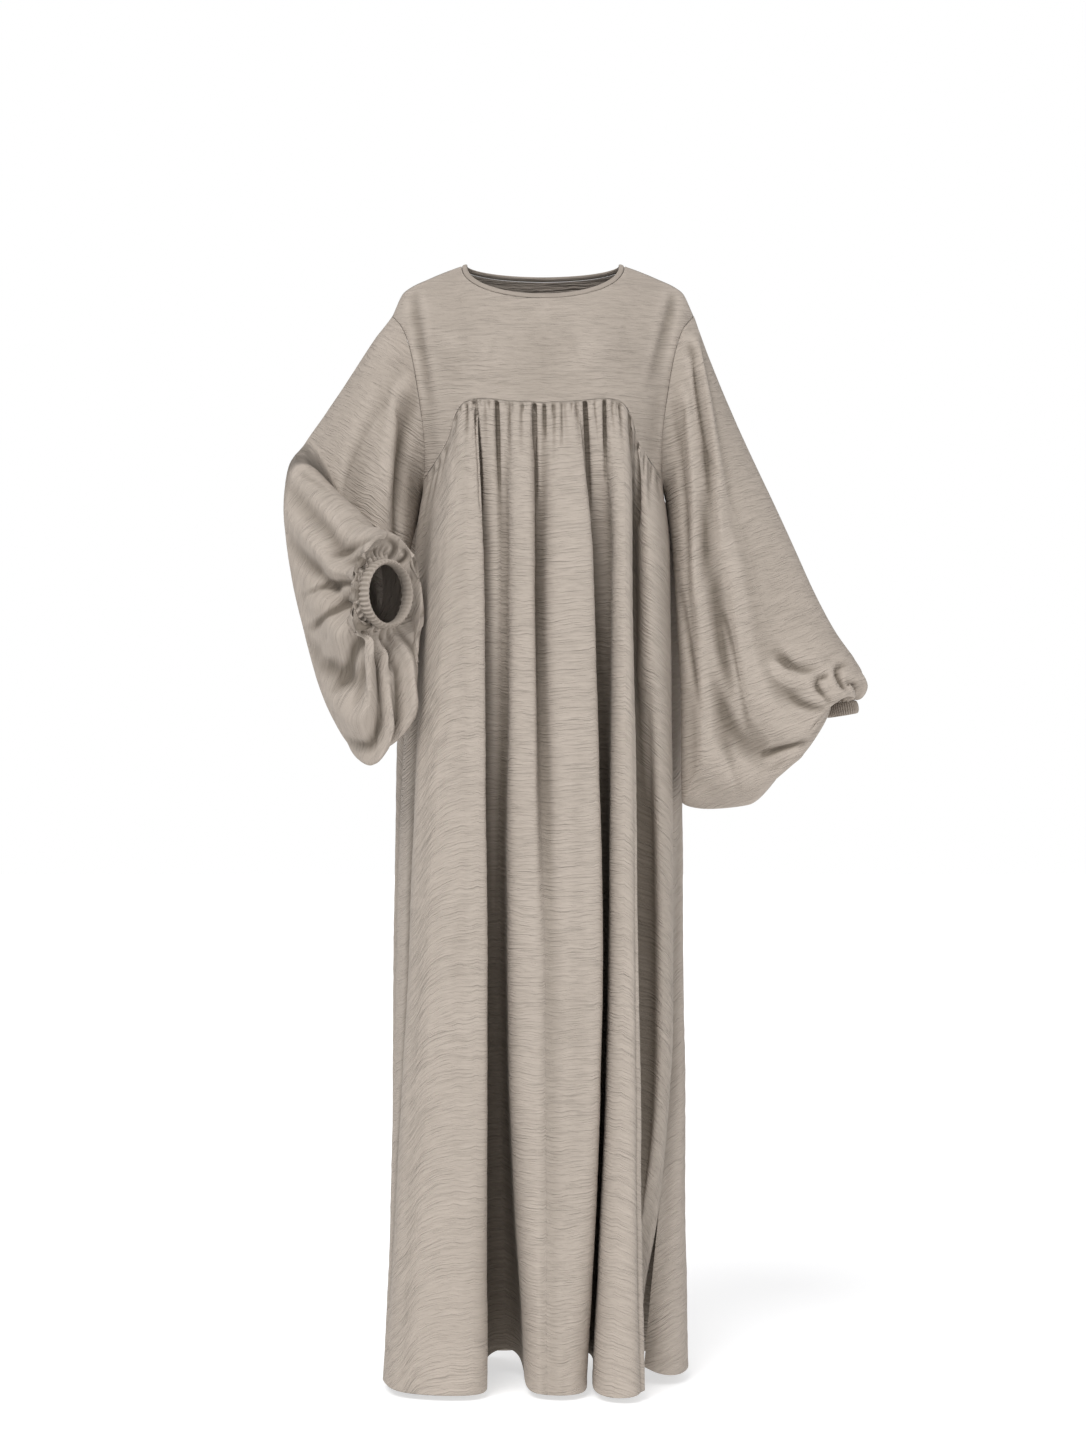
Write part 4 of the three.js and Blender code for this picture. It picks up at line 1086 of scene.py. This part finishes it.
LEFT_LINES = table(FOLD_LINES, [
    (0.2, 3.6, 22, 112, 9, 9),
    (2.2, 7.6, 98, 113, 8, 9),
    (0.5, 3.4, 38, 126, 9, -8),
    (2.4, 7.6, 112, 126, 9, -9),
    (0.5, 3.4, 80, 136, 8, 7),
    (2.4, 6.8, 130, 141, 8, 7),
    (8.0, 11.8, 62, 58, 7, -14),
    (7.2, 11.8, 84, 82, 8, 9),
    (7.8, 11.8, 108, 104, 7, -15),
    (6.8, 11.4, 138, 136, 10, 9),
    (8.6, 11.8, 36, 34, 9, 8),
    (0.4, 7.0, 330, 262, 14, -8),
    (1.4, 7.6, 300, 236, 14, 7),
    (6.8, 11.8, 212, 216, 11, -11),
    (7.0, 11.8, 250, 250, 10, 9),
    (7.2, 11.8, 300, 294, 11, -10),
])
RIGHT_CREASES = table(CREASES, [
    (-319.3, -272, -302.1, -279.8, -280.3, -293.8, 5, -2.5),
    (-239.7, -420.2, -267.8, -415.5, -309.9, -431.1, 6, -7),
    (-244.4, -406.1, -267.8, -399.9, -294.3, -406.1, 9, 4),
    (-239.7, -435.8, -261.6, -445.1, -303.7, -474.7, 6, -8),
    (-244.4, -428, -269.4, -431.1, -300.6, -446.7, 7, 5),
    (-233.5, -462.3, -244.4, -490.3, -272.5, -555.8, 8, -11),
    (-244.4, -456, -263.1, -481, -291.2, -515.3, 9, 5),
    (-230.4, -474.7, -235.1, -515.3, -256.9, -574.6, 8, 5),
    (-212.6, -477.9, -215.4, -559, -221, -646.3, 2.2, -3),
    (-208.2, -481, -208.5, -552.7, -203.9, -630.7, 4, 5),
    (-202, -484.1, -198.6, -552.7, -186.7, -621.3, 5, -8),
    (-189.8, -481, -168, -507.5, -157.1, -540.2, 5, -4),
    (-278.7, -385.8, -253.8, -368.7, -224.1, -357.8, 5, -5),
    (-270.9, -393.6, -244.4, -376.5, -217.9, -365.6, 7, 4),
    (-203.2, -360.9, -193.9, -371.8, -201.7, -386.8, 3.5, -6),
    (-185.1, -372.7, -180.5, -382.7, -192.9, -392.1, 3, -5),
    (-222, -371.8, -217.9, -379.6, -215.4, -387.4, 3, -4),
])
LEFT_CREASES = table(CREASES, [
    (397.8, -521.5, 385.8, -532.4, 399.3, -560.1, 4, -10),
    (379.6, -526.3, 376.7, -540.8, 386.9, -557.2, 5, 4),
    (376.7, -536.1, 358.9, -546.3, 373.1, -569.9, 4.5, -10),
    (303.2, -521.5, 325, -543.4, 361.4, -541.9, 8, 6),
    (306.8, -508.1, 328.7, -526.3, 365.1, -526.3, 8, -5),
    (321.4, -560.8, 343.2, -575.4, 369.4, -578.3, 7, -4),
    (286.8, -643.8, 306.8, -634.3, 346.9, -624.5, 4, -6),
    (288.6, -655.4, 310.5, -645.2, 345, -633.6, 6, 4),
    (237, -455.3, 252.2, -513.5, 268.6, -604.5, 4, -4),
    (177.7, -418.9, 191.1, -495.3, 209.3, -582.7, 5, -4),
    (206.8, -386.2, 221.3, -506.2, 272.3, -622.7, 10, 4),
    (235.9, -619, 246.8, -655.4, 259.5, -688.2, 7, -3),
    (190, -73.1, 209.6, -215.9, 229.2, -386.2, 5, -4),
    (171.6, -180.5, 184.7, -307.6, 197.8, -491, 5, -4),
])


@dataclass
class Sleeve:
    """One balloon sleeve with its elastic casing."""

    side: str
    sign: float
    rings: dict[str, np.ndarray]
    lines: dict[str, np.ndarray]
    creases: dict[str, np.ndarray]
    cuff_axis: tuple[float, float, float]
    cuff_depth: float
    arm: tuple[tuple[float, float, float], tuple[float, float, float]]
    elbow: float
    seed: int
    flat: tuple[float, float] = (0.82, 0.67)
    cut_area: float = 0.36
    gathers: int = 28
    gather_depth: float = 4.4
    gather_reach: float = 1.7
    columns: int = 252
    row_counts: tuple[int, int] = (84, 60)
    wall: float = 1.2
    ruches: int = 40
    casing_columns: int = 480
    casing_sides: int = 28
    casing_girth: float = 0.19
    casing_strip: float = 0.034
    casing_half: float = 2.9
    curves: dict[str, Curve] = field(init=False)
    last: float = field(init=False)

    def __post_init__(self) -> None:
        """Draws a smooth curve through each column of the ring table."""
        steps = np.arange(len(self.rings["wide"]))
        self.curves = {name: Curve(steps, values) for name, values in self.rings.items()}
        self.last = float(steps[-1])

    def ring(self, k: np.ndarray, angle: np.ndarray) -> np.ndarray:
        """Gives points of the hanging sections.

        A section hangs from the arm's upper line to its low point. The way down is a cosine of the angle,
        slower above the widest place, and the reach aside is a sine of it, turned with the arm.

        Args:
            k: Steps along the ring table.
            angle: Degrees round the sleeve, 0 at the top.

        Returns:
            Points of the sleeve.
        """
        a = np.radians(angle)
        at = {name: curve(k) for name, curve in self.curves.items()}
        cosine = np.cos(a)
        down = np.where(cosine > 0, at["wide"] * (1 - cosine), at["wide"] - (1 - at["wide"]) * cosine)
        aside = np.where(np.sin(a) > 0, at["out"], at["in"]) * np.sin(a)
        turn = np.radians(at["turn"])
        return np.stack([
            mix(at["top_x"], at["low_x"], down) - aside * np.sin(turn),
            mix(at["top_y"], at["low_y"], down) - aside * np.cos(turn),
            mix(at["top_z"], at["low_z"], down),
        ], -1)

    def armhole(self, angle: np.ndarray) -> np.ndarray:
        """Gives the armhole's points: 0 degrees at the shoulder, 180 under the arm."""
        angle = np.mod(angle, 360.0)
        share = np.where(angle <= 180, angle, 360 - angle) / 180.0
        z = mix(ARMHOLE["z"][-1], ARMHOLE["z"][0], share)
        x = self.sign * (armhole_x(z) + GAP)
        y = np.where(angle <= 180, FIGURE.y(x, z, FRONT), FIGURE.y(x, z, BACK))
        return np.stack([x, y, z], -1)

    def bare(self, k: np.ndarray, angle: np.ndarray) -> np.ndarray:
        """Blends from the armhole into the hanging sections over the first step."""
        k, angle = np.broadcast_arrays(k, angle)
        return mix(self.armhole(angle), self.ring(k, angle), ease(k)[..., None])

    def relief(self, k: np.ndarray, angle: np.ndarray) -> np.ndarray:
        """Sums the long folds, each a bell round its line, and the gathers at the cuff."""
        total = np.zeros(np.broadcast(k, angle).shape)
        rows = zip(*(self.lines[name] for name in FOLD_LINES.split()))
        for start, end, from_angle, to_angle, width, depth in rows:
            t = np.clip((k - start) / (end - start), 0.0, 1.0)
            off = np.mod(angle - mix(from_angle, to_angle, t) + 540.0, 360.0) - 180.0
            total = total + depth * np.maximum(0.0, np.sin(np.pi * t)) ** 0.7 * bell(off, width)
        near = (self.last - k) / self.gather_reach
        rising = np.where(near < 1, ease(near * 4) * (1 - near) ** 1.5 * self.gather_depth, 0.0)
        a = np.radians(angle)
        uneven = 0.7 + 0.3 * np.sin(2 * a + 1.0) * np.cos(5 * a)
        return total + rising * uneven * np.cos(self.gathers * a + 1.6 * np.sin(3 * a) + 0.9 * np.sin(5 * a))

    def build_sleeve(self) -> bpy.types.Object:
        """Builds the sleeve; its grain runs along the upper arm and then along the forearm."""
        far, close = self.row_counts
        split = self.last - 3.0
        k = np.concatenate([np.linspace(0, split, far, endpoint=False), np.linspace(split, self.last, close)])
        k = k[:, None]
        angle = np.linspace(0.0, 360.0, self.columns, endpoint=False)[None, :]
        base = self.bare(k, angle)
        across = self.bare(k, angle + 2) - self.bare(k, angle - 2)
        ahead = np.minimum(self.last, np.maximum(0.35, k + 0.02))
        along = self.bare(ahead, angle) - self.bare(np.maximum(0, k - 0.02), angle)
        normal = unit(np.cross(across, along)) * self.sign
        relief = self.relief(k, angle) + creased(base, normal, self.creases) * ease((self.last - k) / 1.2)
        points = base + normal * relief[..., None]
        upper, lower = (unit(np.array(v)) for v in self.arm)
        bend = ease((k - self.elbow + 1.2) / 2.4)
        v = mix(points @ upper, points @ lower, bend) * MM
        u = np.cumsum(np.linalg.norm(np.diff(points, axis=1, append=points[:, :1]), axis=-1), axis=1) * MM
        lengths = np.linalg.norm(np.diff(points, axis=0), axis=-1).sum(axis=0) * MM
        girths = u[:, -1]
        LOG.info("sleeve_%s: girths %.3f to %.3f m", self.side, girths.min(), girths.max())
        LOG.info("sleeve_%s: lengths %.3f to %.3f m", self.side, lengths.min(), lengths.max())
        settled = ease(k / 0.8) * ease((self.last - k) / 1.0)
        soft = 1.0 * wander(u, v * 0.5, self.seed) * settled
        points = points + normal * soft[..., None]
        if self.sign > 0:
            points, u, v = points[:, ::-1], u[:, ::-1], v[:, ::-1]
        uv = np.stack([u, v], -1)
        step = np.array([-1.0 if self.sign > 0 else 1.0, 0.0])
        closing = uv[:, -1:] + step * np.abs(uv[:, -1:, :1] - uv[:, -2:-1, :1])
        closing[..., 1] = uv[:, 0:1, 1]
        piece = make_mesh(f"sleeve_{self.side}", points, np.concatenate([uv, closing], 1), wrap_columns=True)
        thicken(piece, self.wall)
        return piece

    def build_cuff(self) -> bpy.types.Object:
        """Builds the elastic casing: a rounded strip carried round the last ring, pinched into ruches."""
        angle = np.linspace(0.0, 360.0, self.casing_columns, endpoint=False)[None, :]
        rim = self.ring(np.array(self.last), angle)
        middle = rim.mean(axis=1, keepdims=True)
        axis = unit(np.array(self.cuff_axis))
        spoke = rim - middle
        outwards = unit(spoke - (spoke @ axis)[..., None] * axis)
        turn = np.linspace(0.0, 2 * np.pi, self.casing_sides, endpoint=False)[:, None]
        wave = np.cos(self.ruches * np.radians(angle) + 1.3 * np.sin(3 * np.radians(angle)))
        along = GAP + self.cuff_depth * 0.5 * (1 - np.cos(turn))
        pinch = 0.95 * wave * np.maximum(0.0, np.sin(turn)) ** 0.5
        across = self.casing_half * np.sin(turn) - 0.2 + pinch + 0.3 * wave
        points = rim + axis * along[..., None] + outwards * across[..., None]
        girth = np.concatenate([angle[0], [360.0]]) / 360.0 * self.casing_girth
        strip = np.linspace(0.0, 1.0, self.casing_sides + 1) * self.casing_strip
        uv = np.stack(np.meshgrid(girth, strip), -1)
        if self.sign > 0:
            points, uv = points[:, ::-1], uv[:, ::-1]
        return make_mesh(f"cuff_{self.side}", points, uv, wrap_columns=True, wrap_rows=True)

    def dress(self, sleeve: bpy.types.Object, cuff: bpy.types.Object) -> None:
        dress(cuff, f"cuff_{self.side}", Slot.TRIM)
        dress(sleeve, f"sleeve_{self.side}", Slot.CREPE)


@dataclass
class NeckBinding:
    """The narrow roll of bias cloth round the neckline."""

    width: float = 7.0
    thick: float = 3.4
    seat: float = 0.7
    sunk: float = 0.8
    stations: int = 180
    sides: int = 20
    station_length: float = 0.0016
    strip_width: float = 0.018

    def build(self, front: Yoke, back: Yoke) -> bpy.types.Object:
        """Carries an oval profile round the neck edge.

        Args:
            front: The front yoke, which gives the front neckline.
            back: The back yoke.

        Returns:
            The binding's object.
        """
        share = np.linspace(-0.5, 0.5, self.stations + 1)
        top = np.zeros(self.stations)
        line = np.concatenate([front.place(share[:-1], top), back.place(share[:0:-1], top)])
        spread = np.sign(line[:, 1] - FIGURE.ridge_y)
        facing_front = FIGURE.normal(line[:, 0], line[:, 2], FRONT)
        facing_back = FIGURE.normal(line[:, 0], line[:, 2], BACK)
        out = unit(np.where((spread < 0)[:, None], facing_front, facing_back))
        out = unit(np.roll(out, 1, axis=0) + 2 * out + np.roll(out, -1, axis=0))
        run = unit(np.roll(line, -1, axis=0) - np.roll(line, 1, axis=0))
        up = -unit(np.cross(run, out))
        centre = line + up * (self.width / 2 + self.seat) - out * self.sunk
        turn = np.linspace(0.0, 2 * np.pi, self.sides, endpoint=False)[:, None, None]
        points = centre + up * np.cos(turn) * self.width / 2 + out * np.sin(turn) * self.thick / 2
        girth = np.concatenate([np.arange(points.shape[1]), [points.shape[1]]]) * self.station_length
        strip = np.linspace(0.0, self.strip_width, self.sides + 1)
        uv = np.stack(np.meshgrid(girth, strip), -1)
        return make_mesh("neck_binding", points, uv, wrap_columns=True, wrap_rows=True)


@dataclass
class Studio:
    """The plain pale floor, the soft lights and the camera at the photo's angle."""

    distance: float = 4.2
    height: float = -0.601
    view_high: float = 1.897
    floor_z: float = -1.4575
    floor_half: float = 14.0
    sensor: float = 36.0

    def floor(self) -> None:
        """Lays the pale floor."""
        mesh = bpy.data.meshes.new("floor")
        half = self.floor_half
        corners = [(x * half, y * half, self.floor_z) for x, y in ((-1, -1), (1, -1), (1, 1), (-1, 1))]
        mesh.from_pydata(corners, [], [(0, 1, 2, 3)])
        plane = bpy.data.objects.new("floor", mesh)
        bpy.context.scene.collection.objects.link(plane)
        white, _ = shaded("pale_floor", {
            "Base Color": (0.62, 0.62, 0.62, 1.0),
            "Roughness": 0.9,
            "Specular IOR Level": 0.1,
            "Emission Color": (1.0, 1.0, 1.0, 1.0),
            "Emission Strength": 0.6,
        })
        mesh.materials.append(white)

    def light(self) -> None:
        """Hangs the soft key high at the front left, a wide fill at the right and a grey surround.

        The camera sees the surround white.
        """
        for name, strength, spread, towards in (
            ("key", 2.0, 30.0, (0.25, 0.62, -0.74)),
            ("fill", 0.5, 60.0, (-0.45, 0.80, -0.40)),
        ):
            lamp = bpy.data.lights.new(name, "SUN")
            lamp.energy = strength
            lamp.angle = np.radians(spread)
            sun = bpy.data.objects.new(name, lamp)
            sun.rotation_euler = aim(unit(np.array(towards)))
            bpy.context.scene.collection.objects.link(sun)
        world = bpy.data.worlds.new("surround")
        bpy.context.scene.world = world
        world.use_nodes = True
        tree = world.node_tree
        seen = add(tree, "LightPath", {}).outputs["Is Camera Ray"]
        shades = {"A": (0.42, 0.42, 0.43, 1.0), "B": (1.0, 1.0, 1.0, 1.0), "Factor": seen}
        shade = add(tree, "Mix", shades, data_type="RGBA")
        feed(tree.nodes["Background"], {"Color": shade.outputs["Result"]})

    def camera(self) -> None:
        """Sets the level camera at the photo's distance, height and field of view."""
        lens = bpy.data.cameras.new("camera")
        lens.sensor_fit = "VERTICAL"
        lens.sensor_height = self.sensor
        lens.lens = self.sensor * self.distance / self.view_high
        lens.clip_end = 60.0
        eye = bpy.data.objects.new("camera", lens)
        eye.location = (0.0, -self.distance, self.height)
        eye.rotation_euler = (np.pi / 2, 0.0, 0.0)
        bpy.context.scene.collection.objects.link(eye)
        bpy.context.scene.camera = eye
        bpy.context.scene.view_settings.view_transform = "Standard"


def aim(direction: np.ndarray) -> tuple[float, float, float]:
    """Gives the Euler angles that turn a lamp's -Z to the direction.

    Args:
        direction: The unit vector in which the light travels.

    Returns:
        The angles about X, Y and Z.
    """
    tilt = float(np.arccos(-direction[2]))
    heading = float(np.arctan2(-direction[0], direction[1]))
    return (tilt, 0.0, heading)


def main() -> None:
    """Builds the studio and the garment in order."""
    studio = Studio()
    studio.camera()
    studio.floor()
    studio.light()
    yokes = [Yoke("yoke_front", FRONT, 52.0), Yoke("yoke_back", BACK, 16.0)]
    binding = NeckBinding().build(*yokes)
    dress(binding, "neck_binding", Slot.TRIM)
    for yoke in yokes:
        yoke.dress(yoke.build())
    panels = [
        SkirtPanel("skirt_front", FRONT, FRONT_FOLDS, FRONT_GATHERS, SKIRT_CREASES, seed=11),
        SkirtPanel("skirt_back", BACK, BACK_FOLDS, BACK_GATHERS, NO_CREASES, 23, (0.94, 1.27), 0.97),
    ]
    for panel, yoke in zip(panels, yokes):
        panel.dress(panel.build(), yoke.name)
    sleeves = [
        Sleeve("right", -1.0, RIGHT_RINGS, RIGHT_LINES, RIGHT_CREASES, (0.719, -0.695, 0.0), 18.0,
               ((-124, 0, -186), (119, -150, -105)), elbow=5.0, seed=31),
        Sleeve("left", 1.0, LEFT_RINGS, LEFT_LINES, LEFT_CREASES, (0.164, 0.0, -0.986), 17.0,
               ((149, -20, -388), (149, -20, -388)), elbow=4.0, seed=41),
    ]
    for sleeve in sleeves:
        sleeve.dress(sleeve.build_sleeve(), sleeve.build_cuff())
    LOG.info("abaya: %d pieces", 1 + len(yokes) + len(panels) + 2 * len(sleeves))


if __name__ == "__main__":
    main()
